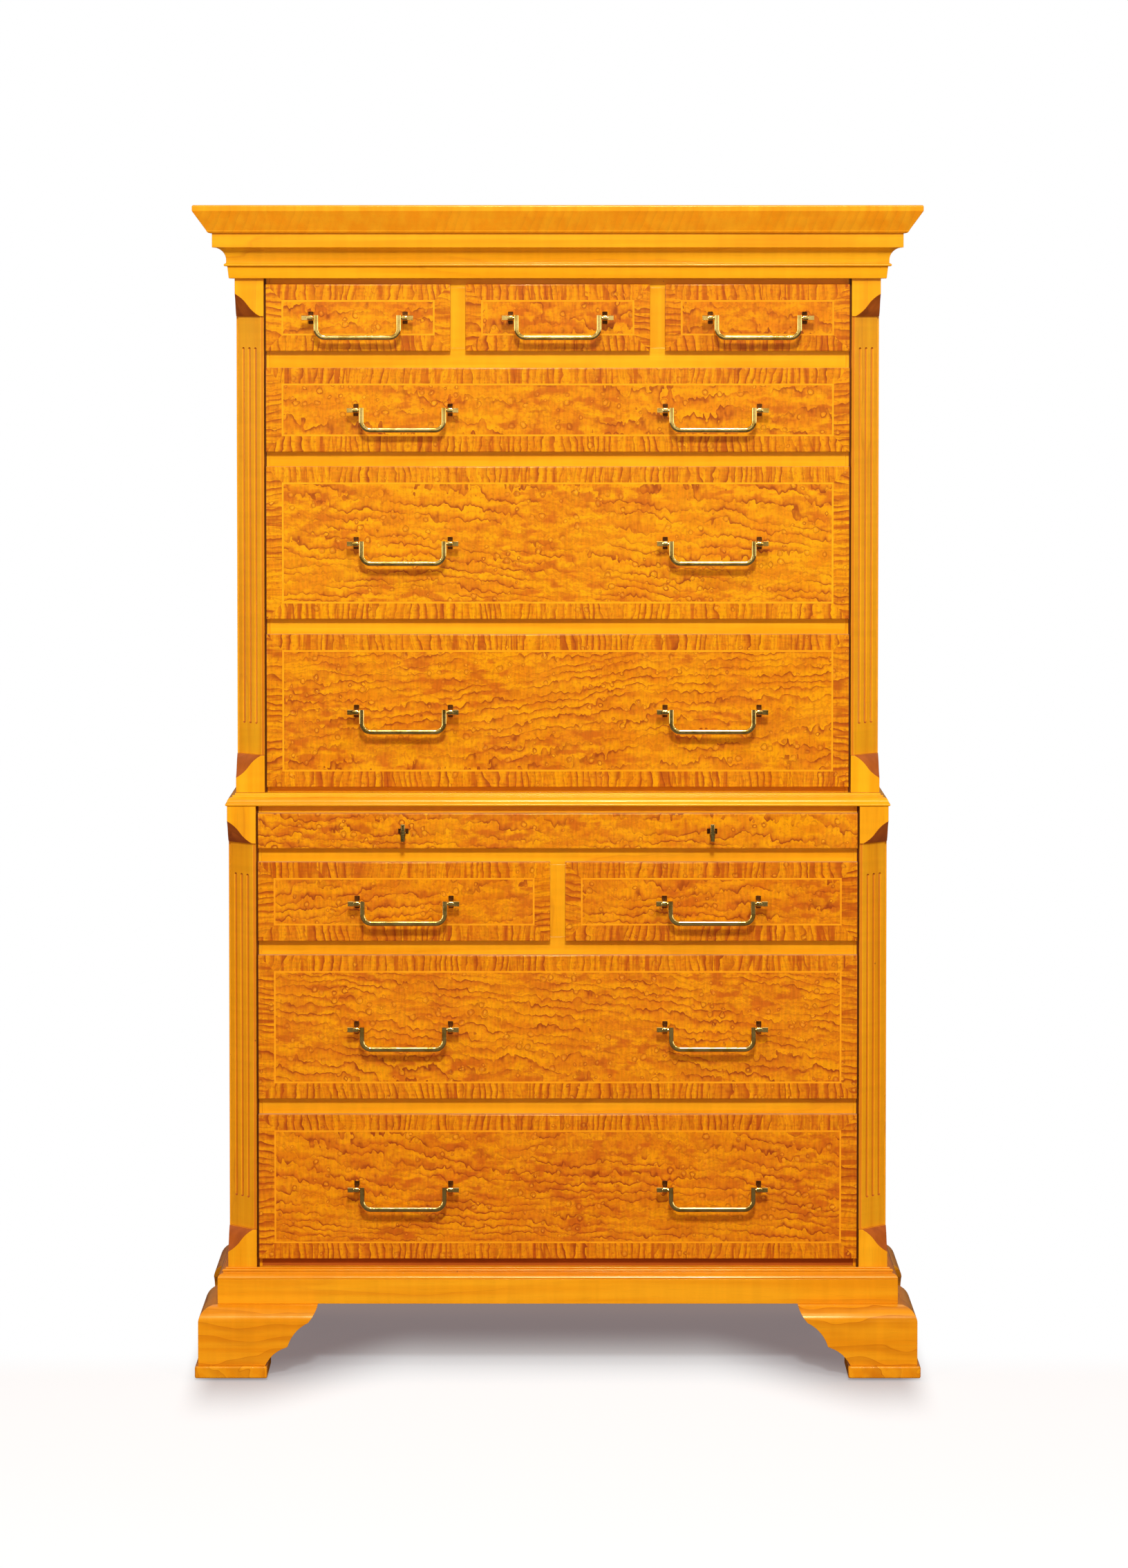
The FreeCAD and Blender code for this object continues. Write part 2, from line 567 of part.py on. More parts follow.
def feet():
    """Mitred ogee wings in front, ogee sides with plain brackets behind, pads and glides."""
    height, reach, wing = "Size.footHeight", "Size.footReach", "Size.wingLength"
    corner = (LOWER_HALF, LOWER_FRONT)
    profile = [("0", "0"), (reach, "0"), (reach, f"{height} - Size.footShoulderDrop",
                                          "-Size.footShoulderRise"),
               (f"{reach} - Size.footShoulderOut", height), ("0", height)]
    inner = f"({reach} - {wing})"
    plans = {
        "mitred": [(inner, f"-{reach}"), (reach, f"-{reach}"), ("0", "0"), (inner, "0")],
        "square": [(inner, f"-{reach}"), (reach, f"-{reach}"), (reach, "0"), (inner, "0")],
    }
    wings = {}
    for kind, plan in plans.items():
        parts = [prism(f"wing_{kind}_profile", "YZ_Plane", flipped(profile), f"3 * {wing}"),
                 prism(f"wing_{kind}_scroll", "XZ_Plane", scroll(height), f"3 * {reach}"),
                 prism(f"wing_{kind}_plan", "XY_Plane", plan, f"3 * {height}")]
        wings[kind] = combine("Part::MultiCommon", f"wing_{kind}", parts)
        place(wings[kind], corner[0], corner[1], PAD_TOP)
    diagonal = (1, 1, 0)
    front_side = mirror("front_side_wing", wings["mitred"], diagonal, corner)
    rear_side = mirror("rear_side_wing", mirror("side_wing_square", wings["square"], diagonal,
                                                corner), (0, 1, 0))
    bracket = prism("back_bracket", "XZ_Plane", scroll(height), "Size.bracketThickness",
                    "Forwards")
    place(bracket, corner[0], f"-({LOWER_FRONT} - {reach})", PAD_TOP)
    bracket_end = board("back_bracket_end", (LOWER_HALF, f"{LOWER_HALF} + {reach}"),
                        (f"-{BACK}", f"{BACK}"), (PAD_TOP, PLINTH_LOW))
    rear_bracket = doc.addObject("Part::Cut", "rear_bracket")
    rear_bracket.Base = bracket
    rear_bracket.Tool = bracket_end

    pad_x = (f"({LOWER_HALF} + Size.padReach - Size.padSide)", f"({LOWER_HALF} + Size.padReach)")
    pad_y = (f"({LOWER_FRONT} - Size.padReach)", f"({LOWER_FRONT} - Size.padReach + Size.padSide)")
    block_x = (f"{LOWER_HALF} - Size.columnWidth", LOWER_HALF)
    block_y = (LOWER_FRONT, f"{LOWER_FRONT} + Size.columnWidth")
    foot_pad = prism("foot_pad", "XY_Plane", rectangle(pad_x, pad_y), "Size.padHeight", "Forwards")
    ease_edges(foot_pad, "foot_pad_rounding", "Fillet", "Size.padRounding", lambda edge: True)
    place(foot_pad, z="Size.glideHeight")
    block = board("foot_block", block_x, block_y, (PAD_TOP, PLINTH_LOW))
    rear_y = f"-({LOWER_FRONT} - {reach}) - Size.bracketThickness"
    rear_block = board("rear_foot_block", block_x, (f"{rear_y} - Size.columnWidth", rear_y),
                       (PAD_TOP, PLINTH_LOW))
    right = [wings["mitred"], front_side, foot_pad, block,
             rear_side, rear_bracket, mirror("rear_foot_pad", foot_pad, (0, 1, 0)), rear_block]
    node("bracket_feet", right + [mirror(piece.Name + "_left", piece) for piece in right])

    glide = doc.addObject("PartDesign::Body", "glide")
    dome = outline(glide, "XZ_Plane", "glide_outline", [
        ("0", "0"), ("Size.glideFlat", "0", "-Size.glideHeight / 6"),
        ("Size.glideRadius", "Size.glideHeight"), ("0", "Size.glideHeight")])
    turned = glide.newObject("PartDesign::Revolution", "glide_turned")
    turned.Profile = dome
    turned.ReferenceAxis = (dome, ["V_Axis"])
    place(glide, f"({pad_x[0]} + {pad_x[1]}) / 2", f"({pad_y[0]} + {pad_y[1]}) / 2")
    pair = [glide, mirror("glide_rear", glide, (0, 1, 0))]
    node("foot_glides", pair + [mirror(piece.Name + "_left", piece) for piece in pair])


# ---------------------------------------------------------------- handles

def post(name, x, front, z, width, height):
    """A square post with a cross hole for the bail's pivot, and its backplate."""
    plate_front = f"{front} - Size.plateThickness"
    body = doc.addObject("PartDesign::Body", name)
    half = "(Size.postWidth / 2)"
    square = rectangle(middle_span(half), middle_span(half))
    pad(body, name + "_shank", outline(body, "XZ_Plane", name + "_section", square),
        "Size.postStandOff + Size.postNose", "Forwards")
    doc.recompute()
    nose = -number("Size.postStandOff + Size.postNose")
    ease_edges(body, name + "_nose", "Chamfer", "Size.postChamfer", edge_lies_at("y", nose))
    bore = body.newObject("Sketcher::SketchObject", name + "_bore_outline")
    plane = next(part for part in body.Origin.OriginFeatures if part.Role == "YZ_Plane")
    bore.AttachmentSupport = [(plane, "")]
    bore.MapMode = "FlatFace"
    centre = Vector(-number("Size.postStandOff"), 0, 0)
    radius = "Size.pivotRadius + Size.pivotClearance"
    bore.addGeometry(Part.Circle(centre, Vector(0, 0, 1), number(radius)), False)
    pin(bore, 0, 3, "X", "-Size.postStandOff")
    pin(bore, 0, 3, "Y", "0")
    index = bore.addConstraint(Sketcher.Constraint("Radius", 0, number(radius)))
    bore.setExpression(f"Constraints[{index}]", radius)
    hole = body.newObject("PartDesign::Pocket", name + "_bore")
    hole.Profile = bore
    hole.SideType = "Symmetric"
    hole.setExpression("Length", "2 * Size.postWidth")
    place(body, x, plate_front, z)
    plate = board(name + "_plate", (f"{x} - {width} / 2", f"{x} + {width} / 2"),
                  (plate_front, front),
                  (f"{z} - {height} / 2", f"{z} + {height} / 2"))
    return [body, plate]


def bail(name, x, front, z):
    """A drop handle: a faceted bow, and two pivot stubs that end in square blocks."""
    body = doc.addObject("PartDesign::Body", name + "_bow")
    bar = "(Size.bailBar / 2)"
    arm = "(Size.handlePitch / 2 - Size.armOffset)"
    outer, low = f"({arm} + {bar})", f"(Size.bailDrop + {bar})"
    inner, rise = f"({arm} - {bar})", f"(Size.bailDrop - {bar})"
    big, small = "Size.bailOuterRadius", "Size.bailInnerRadius"
    bow = [
        (f"-{outer}", bar), (f"-{outer}", f"-{low} + {big}", f"-{QUARTER} * {big}"),
        (f"-{outer} + {big}", f"-{low}"), (f"{outer} - {big}", f"-{low}", f"-{QUARTER} * {big}"),
        (outer, f"-{low} + {big}"), (outer, bar), (inner, bar),
        (inner, f"-{rise} + {small}", f"{QUARTER} * {small}"), (f"{inner} - {small}", f"-{rise}"),
        (f"-{inner} + {small}", f"-{rise}", f"{QUARTER} * {small}"),
        (f"-{inner}", f"-{rise} + {small}"), (f"-{inner}", bar)]
    section = outline(body, "XZ_Plane", name + "_bow_outline", bow)
    pad(body, name + "_bow_pad", section, "Size.bailBar")
    doc.recompute()
    half_bar = number(bar)
    ease_edges(body, name + "_facets", "Chamfer", "Size.bailChamfer",
               lambda edge: edge_lies_at("y", half_bar)(edge) or edge_lies_at("y", -half_bar)(edge))
    doc.recompute()
    place(body, x, front, z)
    stub_in = f"({arm} + {bar} - Size.lugGap)"
    stub_out = f"(Size.handlePitch / 2 + Size.postWidth / 2 + Size.lugGap)"
    parts = [body]
    for side, sign in (("right", 1), ("left", -1)):
        stub = doc.addObject("Part::Cylinder", f"{name}_{side}_stub")
        stub.setExpression("Radius", "Size.pivotRadius")
        stub.setExpression("Height", f"{stub_out} - {stub_in} + Size.bailEnd / 2")
        stub.Placement = Placement(Vector(0, 0, 0), Rotation(Vector(0, 1, 0), 90 * sign))
        for axis, formula in zip("xyz", (f"{x} + {sign} * {stub_in}", front, z)):
            stub.setExpression(f"Placement.Base.{axis}", formula)
        lug = board(f"{name}_{side}_lug",
                    (f"{x} + {sign} * ({arm}) - ({bar} + Size.lugGap * {1 + sign}) "
                     f"+ Size.lugGap * {sign}",
                     f"{x} + {sign} * ({arm}) + {bar}"),
                    (f"{front} - {bar}", f"{front} + {bar}"), (f"{z} - {bar}", f"{z} + {bar}"))
        span = (f"{x} + {stub_out}", f"{x} + {stub_out} + Size.bailEnd")
        if sign < 0:
            span = (f"{x} - {stub_out} - Size.bailEnd", f"{x} - {stub_out}")
        block = board(f"{name}_{side}_end", span, (f"{front} - {bar}", f"{front} + {bar}"),
                      (f"{z} - {bar}", f"{z} + {bar}"))
        parts += [stub, lug, block]
    return combine("Part::MultiFuse", name + "_whole", parts)


# ---------------------------------------------------------------- drawers and slide

def front_body(name, x, case, low, high, half):
    """A front that laps over its opening, with eased edges and an inner block."""
    body = doc.addObject("PartDesign::Body", name)
    face = "(Size.railSetback - Size.frontSeat)"
    height = f"({high} - {low})"
    whole = rectangle(middle_span(half), ("0", height))
    pad(body, name + "_face", outline(body, "XZ_Plane", name + "_face_outline", whole),
        face, "Forwards")
    doc.recompute()
    ease_edges(body, name + "_easing", "Fillet", "Size.frontRounding",
               edge_lies_at("y", -number(face)))
    step = "(Size.lip + Size.boxClearance)"
    tongue = rectangle(middle_span(f"({half} - {step})"),
                       ("Size.lip + Size.boxLift", f"{height} - Size.lip - Size.boxHeadroom"))
    pad(body, name + "_tongue", outline(body, "XZ_Plane", name + "_tongue_outline", tongue),
        "Size.frontInner", "Backwards")
    place(body, x, f"{case.front} + {face}", low)
    return body


def drawer_box(name, x, case, low, high, half):
    """Two sides, a back and a raised bottom behind a front."""
    outer = f"({half} - Size.lip - Size.boxClearance)"
    inner = f"({outer} - Size.boxWall)"
    near = f"({case.front} + Size.railSetback - Size.frontSeat + Size.frontInner)"
    far = f"({case.inside_back} - Size.boxBackGap)"
    floor = f"({low} + Size.lip + Size.boxLift)"
    rim = f"({high} - Size.lip - Size.boxHeadroom)"
    panel = f"({floor} + Size.boxBottomRaise)"
    pieces = [
        board(name + "_side_right", (f"{x} + {inner}", f"{x} + {outer}"), (near, far),
              (floor, rim)),
        board(name + "_side_left", (f"{x} - {outer}", f"{x} - {inner}"), (near, far),
              (floor, rim)),
        board(name + "_back", (f"{x} - {inner}", f"{x} + {inner}"),
              (f"{far} - Size.boxWall", far), (floor, rim)),
        board(name + "_bottom", (f"{x} - {inner}", f"{x} + {inner}"),
              (near, f"{far} - Size.boxWall"), (panel, f"{panel} + Size.boxBottom")),
    ]
    node(name, pieces)


def drawer(name, case, row, count=1, index=0, handles=2):
    """A drawer: front, box, handle posts and its bails."""
    low, high = case.rows[row]
    x, half = case.drawer_centre(count, index)
    node(name + "_front", [front_body(name + "_front", x, case, low, high, half)])
    drawer_box(name + "_box", x, case, low, high, half)
    middle = f"(({low} + {high}) / 2)"
    places = [x] if handles == 1 else ["-Size.handleSpread", "Size.handleSpread"]
    posts = []
    for i, centre in enumerate(places, start=1):
        for side, sign in (("left", "-"), ("right", "+")):
            posts += post(f"{name}_post_{i}_{side}", f"({centre} {sign} Size.handlePitch / 2)",
                          case.front, middle, "Size.plateWidth", "Size.plateHeight")
    node(name + "_posts", posts)
    pivot = f"({case.front} - Size.plateThickness - Size.postStandOff)"
    for i, centre in enumerate(places):
        side = "" if handles == 1 else ("_left", "_right")[i]
        node(f"{name}{side}_bail", [bail(f"{name}{side}_bail", centre, pivot, middle)])


def brushing_slide():
    """A sliding board under the waist, with a deep front edge and two knobs."""
    low, high = LOWER.rows[3]
    x, half = LOWER.drawer_centre(1, 0)
    front = front_body("brushing_slide_edge", x, LOWER, low, high, half)
    top = f"({high} - Size.lip - Size.slideBoardGap)"
    shelf = board("brushing_slide_shelf", middle_span(f"({half} - Size.lip - Size.boxClearance)"),
                  (f"({LOWER.rail_front} - Size.frontSeat + Size.frontInner)",
                   f"({LOWER.inside_back} - Size.boxBackGap)"),
                  (f"{top} - Size.slideBoard", top))
    node("brushing_slide_board", [front, shelf])
    middle = f"(({low} + {high}) / 2)"
    pieces = []
    for side, centre in (("left", "-Size.handleSpread"), ("right", "Size.handleSpread")):
        name = f"brushing_slide_knob_{side}"
        shank, plate = post(name + "_shank", centre, LOWER.front, middle, "Size.knobPlateWidth",
                            "Size.knobPlateHeight")
        axis = f"({LOWER.front} - Size.plateThickness - Size.postStandOff)"
        bar, wide = "Size.knobBarHeight / 2", "Size.knobBarWidth / 2"
        stem = board(name + "_bar", (f"{centre} - {wide}", f"{centre} + {wide}"),
                     (f"{axis} - Size.postNose", f"{axis} + Size.postNose"),
                     (f"{middle} - {bar}", f"{middle} + {bar}"))
        pieces += [combine("Part::MultiFuse", name, [shank, stem]), plate]
    node("brushing_slide_knobs", pieces)


# ---------------------------------------------------------------- the whole piece

cornice()
waist()
plinth()
columns(UPPER, WAIST_TOP, FRIEZE_LOW)
columns(LOWER, BASE_TOP, LOWER_TOP)
upper_case()
lower_case()
backs()
rails(LOWER, {2: 2})
rails(UPPER, {3: 3})
runners()
feet()
drawer("lower_deep_drawer_2", LOWER, 0)
drawer("lower_deep_drawer_1", LOWER, 1)
drawer("lower_left_drawer", LOWER, 2, count=2, index=0, handles=1)
drawer("lower_right_drawer", LOWER, 2, count=2, index=1, handles=1)
brushing_slide()
drawer("upper_deep_drawer_2", UPPER, 0)
drawer("upper_deep_drawer_1", UPPER, 1)
drawer("upper_shallow_drawer", UPPER, 2)
for index, side in enumerate(("left", "middle", "right")):
    drawer(f"top_{side}_drawer", UPPER, 3, count=3, index=index, handles=1)
doc.recompute()

for item in doc.Objects:
    if {"Invalid", "Error"} & set(item.State):
        raise RuntimeError(f"{item.Label} failed: {item.State}")
for item in nodes:
    if item.Shape.isNull() or not item.Shape.isValid() or not item.Shape.Solids:
        raise RuntimeError(f"{item.Label} has no valid solid")
os.makedirs("parts", exist_ok=True)
for item in nodes:
    item.Shape.exportStep(f"parts/{item.Label}.step")
    print(f"{item.Label}: {len(item.Shape.Solids)} solids, {item.Shape.Volume / 1000:.0f} cm3")
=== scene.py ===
import json
import math
import random

import bmesh
import bpy
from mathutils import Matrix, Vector

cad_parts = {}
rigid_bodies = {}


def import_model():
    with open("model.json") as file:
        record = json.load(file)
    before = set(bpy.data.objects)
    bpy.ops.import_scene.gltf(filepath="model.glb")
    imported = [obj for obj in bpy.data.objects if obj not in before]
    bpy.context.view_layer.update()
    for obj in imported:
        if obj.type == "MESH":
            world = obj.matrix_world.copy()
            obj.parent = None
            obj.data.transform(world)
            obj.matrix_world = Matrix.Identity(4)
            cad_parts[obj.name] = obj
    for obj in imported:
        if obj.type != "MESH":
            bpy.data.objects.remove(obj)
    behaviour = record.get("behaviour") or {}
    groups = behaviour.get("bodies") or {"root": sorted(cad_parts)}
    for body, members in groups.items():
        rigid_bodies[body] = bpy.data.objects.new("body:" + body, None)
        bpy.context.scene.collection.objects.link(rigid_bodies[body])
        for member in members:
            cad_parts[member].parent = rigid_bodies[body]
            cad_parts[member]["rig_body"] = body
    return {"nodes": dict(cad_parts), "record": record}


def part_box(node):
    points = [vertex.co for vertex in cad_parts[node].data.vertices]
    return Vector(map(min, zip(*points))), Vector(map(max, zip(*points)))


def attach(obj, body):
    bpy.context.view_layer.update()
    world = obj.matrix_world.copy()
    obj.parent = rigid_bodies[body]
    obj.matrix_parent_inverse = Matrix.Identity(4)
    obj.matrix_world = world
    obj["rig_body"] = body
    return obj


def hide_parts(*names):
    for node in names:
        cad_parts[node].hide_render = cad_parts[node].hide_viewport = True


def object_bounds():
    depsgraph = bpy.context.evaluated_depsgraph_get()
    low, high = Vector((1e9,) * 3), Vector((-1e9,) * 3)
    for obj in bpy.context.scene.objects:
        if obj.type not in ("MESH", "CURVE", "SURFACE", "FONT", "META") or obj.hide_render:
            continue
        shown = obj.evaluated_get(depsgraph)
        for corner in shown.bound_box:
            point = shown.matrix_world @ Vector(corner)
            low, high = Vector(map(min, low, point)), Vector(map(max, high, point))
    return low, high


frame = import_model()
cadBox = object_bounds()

scene = bpy.context.scene
scene.view_settings.view_transform = "Standard"
mm = 0.001
drawers = ["lower_deep_drawer_2", "lower_deep_drawer_1", "lower_left_drawer", "lower_right_drawer",
           "upper_deep_drawer_2", "upper_deep_drawer_1", "upper_shallow_drawer",
           "top_left_drawer", "top_middle_drawer", "top_right_drawer"]


def addNode(tree, kind, inputs=None, **settings):
    node = tree.nodes.new(kind)
    for key, value in settings.items():
        setattr(node, key, value)
    for key, value in (inputs or {}).items():
        if isinstance(value, bpy.types.NodeSocket):
            tree.links.new(value, node.inputs[key])
        else:
            node.inputs[key].default_value = value
    return node


def calc(tree, operation, *values):
    return addNode(tree, "ShaderNodeMath", dict(enumerate(values)), operation=operation).outputs[0]


def times(tree, first, second):
    return calc(tree, "MULTIPLY", first, second)


def softStep(tree, value, low, high, first=0.0, last=1.0):
    values = {"Value": value, "From Min": low, "From Max": high, "To Min": first, "To Max": last}
    return addNode(tree, "ShaderNodeMapRange", values, interpolation_type="SMOOTHSTEP").outputs[0]


def mixColour(tree, factor, first, second, way="MIX"):
    node = addNode(tree, "ShaderNodeMix", {0: factor, 6: first, 7: second},
                   data_type="RGBA", blend_type=way)
    return node.outputs[2]


def cloud(tree, place, perMetre, detail=1.0, flat=True, roughness=0.5):
    scaled = addNode(tree, "ShaderNodeVectorMath", {0: place, 1: perMetre}, operation="MULTIPLY")
    values = {"Vector": scaled.outputs[0], "Scale": 1.0, "Detail": detail, "Roughness": roughness}
    return addNode(tree, "ShaderNodeTexNoise", values,
                   noise_dimensions="2D" if flat else "3D").outputs["Fac"]


def pattern(tree, place, look, name, detail, flat=True, roughness=0.5):
    # one of a finish's fields, told between the two levels that its span names
    field = cloud(tree, place, look[name], detail, flat, roughness)
    return softStep(tree, field, *look["spans"][name])


def layer(tree, name):
    return addNode(tree, "ShaderNodeAttribute", attribute_name=name).outputs


def greyOf(tree, level):
    return addNode(tree, "ShaderNodeCombineColor", {0: level, 1: level, 2: level}).outputs[0]


def shade(code):
    parts = [int(code[i:i + 2], 16) / 255 for i in (1, 3, 5)]
    return tuple(c / 12.92 if c <= 0.04045 else ((c + 0.055) / 1.055) ** 2.4 for c in parts) + (1.0,)


def newMaterial(name):
    material = bpy.data.materials.new(name)
    material.use_nodes = True
    tree = material.node_tree
    tree.nodes.clear()
    return material, tree


def wear(tree, field, look):
    # the polish is finest where the field is low and dullest where it is high
    low, high, finer, duller = look["wear"]
    return softStep(tree, field, low, high, look["roughness"] + finer, look["roughness"] + duller)


def deepen(tree, colour, grey, tone, look):
    # fine streaks and pores, then a colour that grows deeper and redder towards the bottom of the
    # chest
    colour = mixColour(tree, 1.0, colour, greyOf(tree, grey), "MULTIPLY")
    return mixColour(tree, tone, colour, mixColour(tree, 1.0, colour, look["deepestTint"], "MULTIPLY"))


def finishSurface(tree, look, colour, height, roughness):
    bump = addNode(tree, "ShaderNodeBump", {"Height": height, "Strength": look["relief"],
                                            "Distance": look["reliefDepth"]})
    shader = addNode(tree, "ShaderNodeBsdfPrincipled", {
        "Base Color": colour, "Roughness": roughness, "Metallic": look.get("metallic", 0.0),
        "Specular IOR Level": look.get("specular", 0.5),
        "Specular Tint": look.get("reflection", (1, 1, 1, 1)), "Normal": bump.outputs[0]})
    addNode(tree, "ShaderNodeOutputMaterial", {0: shader.outputs[0]})


# an amber-tinted reflection over the timber, with a faint relief
lacquer = {"roughness": 0.17, "wear": (0.3, 0.7, -0.03, 0.05), "specular": 0.42,
           "reflection": (1.0, 0.74, 0.38, 1.0), "relief": 0.10, "reliefDepth": 0.0002}

veneerLook = dict(
    lacquer, pale="#F7AB0B", middle="#E6900E", deep="#CB6A15", line="#A04A14", spot="#FFBA3A",
    deepestTint=(0.82, 0.57, 0.62, 1.0),            # what the deepest tone does to the colour
    # fields of the figure: how often each repeats in a metre, along the grain and across it
    hills=(2.6, 6.5, 1.0), hillRings=2.8, swells=(15.0, 26.0, 1.0), swellRings=1.7,
    drips=(95.0, 48.0, 1.0), dripRings=0.95, clusters=(7.0, 13.0, 1.0),
    eyesPerMetre=56.0, eyeRings=0.8, eyeShare=0.42, eyeMargin=0.12, eyeRadius=0.19,
    warp=(85.0, 85.0, 1.0), warpBy=0.006, ground=(16.0, 48.0, 1.0), blotch=(34.0, 75.0, 1.0),
    patches=(5.0, 9.0, 1.0), fade=0.80, flecks=(150.0, 190.0, 1.0), lineShift=(7.0, 18.0, 1.0),
    streak=(260.0, 45.0, 1.0), breaks=(45.0, 70.0, 1.0), edge=0.95, halfLines=(2.0, 0.37),
    pores=(150.0, 1500.0, 1.0), wearing=(14.0, 11.0, 1.0),
    # the two levels between which each one sets in, and how much it tells at both
    spans={"clusters": (0.42, 0.58, 0.2, 1.0), "eyeSize": (0.0, 1.0, 0.65, 1.35),
           "eyeDome": (0.0, 0.34, 1.0, 0.0), "eyeRing": (0.0, 0.06, 0.60, 0.0),
           "pupil": (0.04, 0.12, 0.42, 0.0), "lineShift": (0.34, 0.60, 0.22, 1.0),
           "ground": (0.38, 0.62), "fade": (0.30, 1.0), "flecks": (0.56, 0.70, 0.0, 0.45),
           "halfLine": (0.62, 0.95, 0.0, 0.4), "quiet": (0.1, 0.7, 1.0, 0.15),
           "blotch": (0.46, 0.66, 0.0, 0.85), "patches": (0.42, 0.60, 0.1, 1.0),
           "breaks": (0.36, 0.56, 0.15, 1.0), "edge": (0.74, 0.96),
           "streak": (0.3, 0.7, 0.92, 1.06), "pores": (0.60, 0.80, 1.0, 0.86)})


def makeVeneer(name, **changes):
    # Growth rings cut nearly level: their height is folded into terraces, each dark at its edge.
    look = dict(veneerLook, **changes)
    material, tree = newMaterial(name)
    place, tone = layer(tree, "grain")["Vector"], layer(tree, "tone")["Fac"]
    slope = addNode(tree, "ShaderNodeSeparateXYZ", {0: layer(tree, "rings")["Vector"]}).outputs
    spans = look["spans"]

    # bird's eyes: small domes in scattered clusters, none quite round
    scaled = addNode(tree, "ShaderNodeVectorMath", {0: place, 1: look["warp"]}, operation="MULTIPLY")
    warp = addNode(tree, "ShaderNodeTexNoise", {"Vector": scaled.outputs[0], "Scale": 1.0},
                   noise_dimensions="2D").outputs["Color"]
    warped = addNode(tree, "ShaderNodeVectorMath", {0: warp, 1: (look["warpBy"],) * 3, 2: place},
                     operation="MULTIPLY_ADD").outputs[0]
    cells = addNode(tree, "ShaderNodeTexVoronoi", {"Vector": warped, "Scale": look["eyesPerMetre"]},
                    voronoi_dimensions="2D")
    lottery = addNode(tree, "ShaderNodeSeparateColor", {0: cells.outputs["Color"]}).outputs
    eye = softStep(tree, lottery[0], look["eyeShare"], look["eyeShare"] + look["eyeMargin"])
    eye = times(tree, eye, pattern(tree, place, look, "clusters", 1.0))
    distance = calc(tree, "DIVIDE", cells.outputs["Distance"],
                    softStep(tree, lottery[1], *spans["eyeSize"]))
    swelling = times(tree, softStep(tree, distance, *spans["eyeDome"]), eye)

    # ring height: the board's own slope, then hills, swells, drips and eyes
    height = calc(tree, "MULTIPLY_ADD", slope[2], times(tree, slope[1], slope[1]), slope[0])
    for perMetre, rings, detail in ((look["hills"], look["hillRings"], 0.0),
                                    (look["swells"], look["swellRings"], 1.0),
                                    (look["drips"], look["dripRings"], 1.5)):
        height = calc(tree, "MULTIPLY_ADD", cloud(tree, place, perMetre, detail), rings, height)
    height = calc(tree, "MULTIPLY_ADD", swelling, look["eyeRings"], height)
    terrace = calc(tree, "FRACT", height)

    # each terrace darkens towards its edge, ends in a thin line, and the next starts bright
    strength = pattern(tree, place, look, "lineShift", 2.0)
    fade = times(tree, softStep(tree, terrace, *spans["fade"]), look["fade"])
    halfLine = calc(tree, "FRACT", calc(tree, "MULTIPLY_ADD", height, *look["halfLines"]))
    halfLine = times(tree, softStep(tree, halfLine, *spans["halfLine"]),
                     softStep(tree, strength, *spans["quiet"]))
    blotch = times(tree, pattern(tree, place, look, "blotch", 4.0),
                   pattern(tree, place, look, "patches", 1.0))
    edge = times(tree, softStep(tree, terrace, *spans["edge"], 0.0, look["edge"]), strength)
    edge = times(tree, edge, pattern(tree, place, look, "breaks", 2.0))
    ring = calc(tree, "ABSOLUTE", calc(tree, "SUBTRACT", distance, look["eyeRadius"]))
    ring = times(tree, softStep(tree, ring, *spans["eyeRing"]), eye)
    pupil = times(tree, softStep(tree, distance, *spans["pupil"]), eye)
    colour = mixColour(tree, pattern(tree, place, look, "ground", 5.0, roughness=0.62),
                       shade(look["pale"]), shade(look["middle"]))
    for amount, stain in ((times(tree, fade, strength), "deep"),
                          (pattern(tree, place, look, "flecks", 2.0), "deep"),
                          (halfLine, "deep"), (blotch, "deep"), (edge, "line"), (ring, "line"),
                          (pupil, "spot")):
        colour = mixColour(tree, amount, colour, shade(look[stain]))

    pores = pattern(tree, place, look, "pores", 1.0)
    grey = times(tree, pattern(tree, place, look, "streak", 2.0), pores)
    worn = wear(tree, cloud(tree, place, look["wearing"], 3.0), look)
    finishSurface(tree, look, deepen(tree, colour, grey, tone, look), pores, worn)
    return material


timberLook = dict(
    lacquer, relief=0.30, reliefDepth=0.0003, pale="#FCB81A", middle="#F2A510", line="#D58418",
    speck="#8A4A20", deepestTint=(0.82, 0.60, 0.60, 1.0),
    ringsPerMetre=21.0, slant=0.6, wander=(1.6, 13.0, 13.0), wanderRings=3.6,
    shiver=(16.0, 60.0, 60.0), shiverRings=0.35, streaks=(2.2, 60.0, 60.0),
    lineShift=(2.0, 9.0, 9.0), lineStrength=0.55, lineRest=0.05, lineWidth=0.09,
    specksPerMetre=42.0, specks=0.955, silk=(75.0, 7.0, 7.0), fibre=(28.0, 900.0, 900.0),
    ridges=(3.0, 480.0, 480.0), wearing=(9.0, 16.0, 16.0),
    spans={"streaks": (0.3, 0.7), "lineShift": (0.42, 0.66), "rise": (0.45, 1.0, 0.0, 0.5),
           "speck": (0.03, 0.07, 0.8, 0.0), "silk": (0.3, 0.7, 0.97, 1.03),
           "fibre": (0.55, 0.8, 1.0, 0.9)})


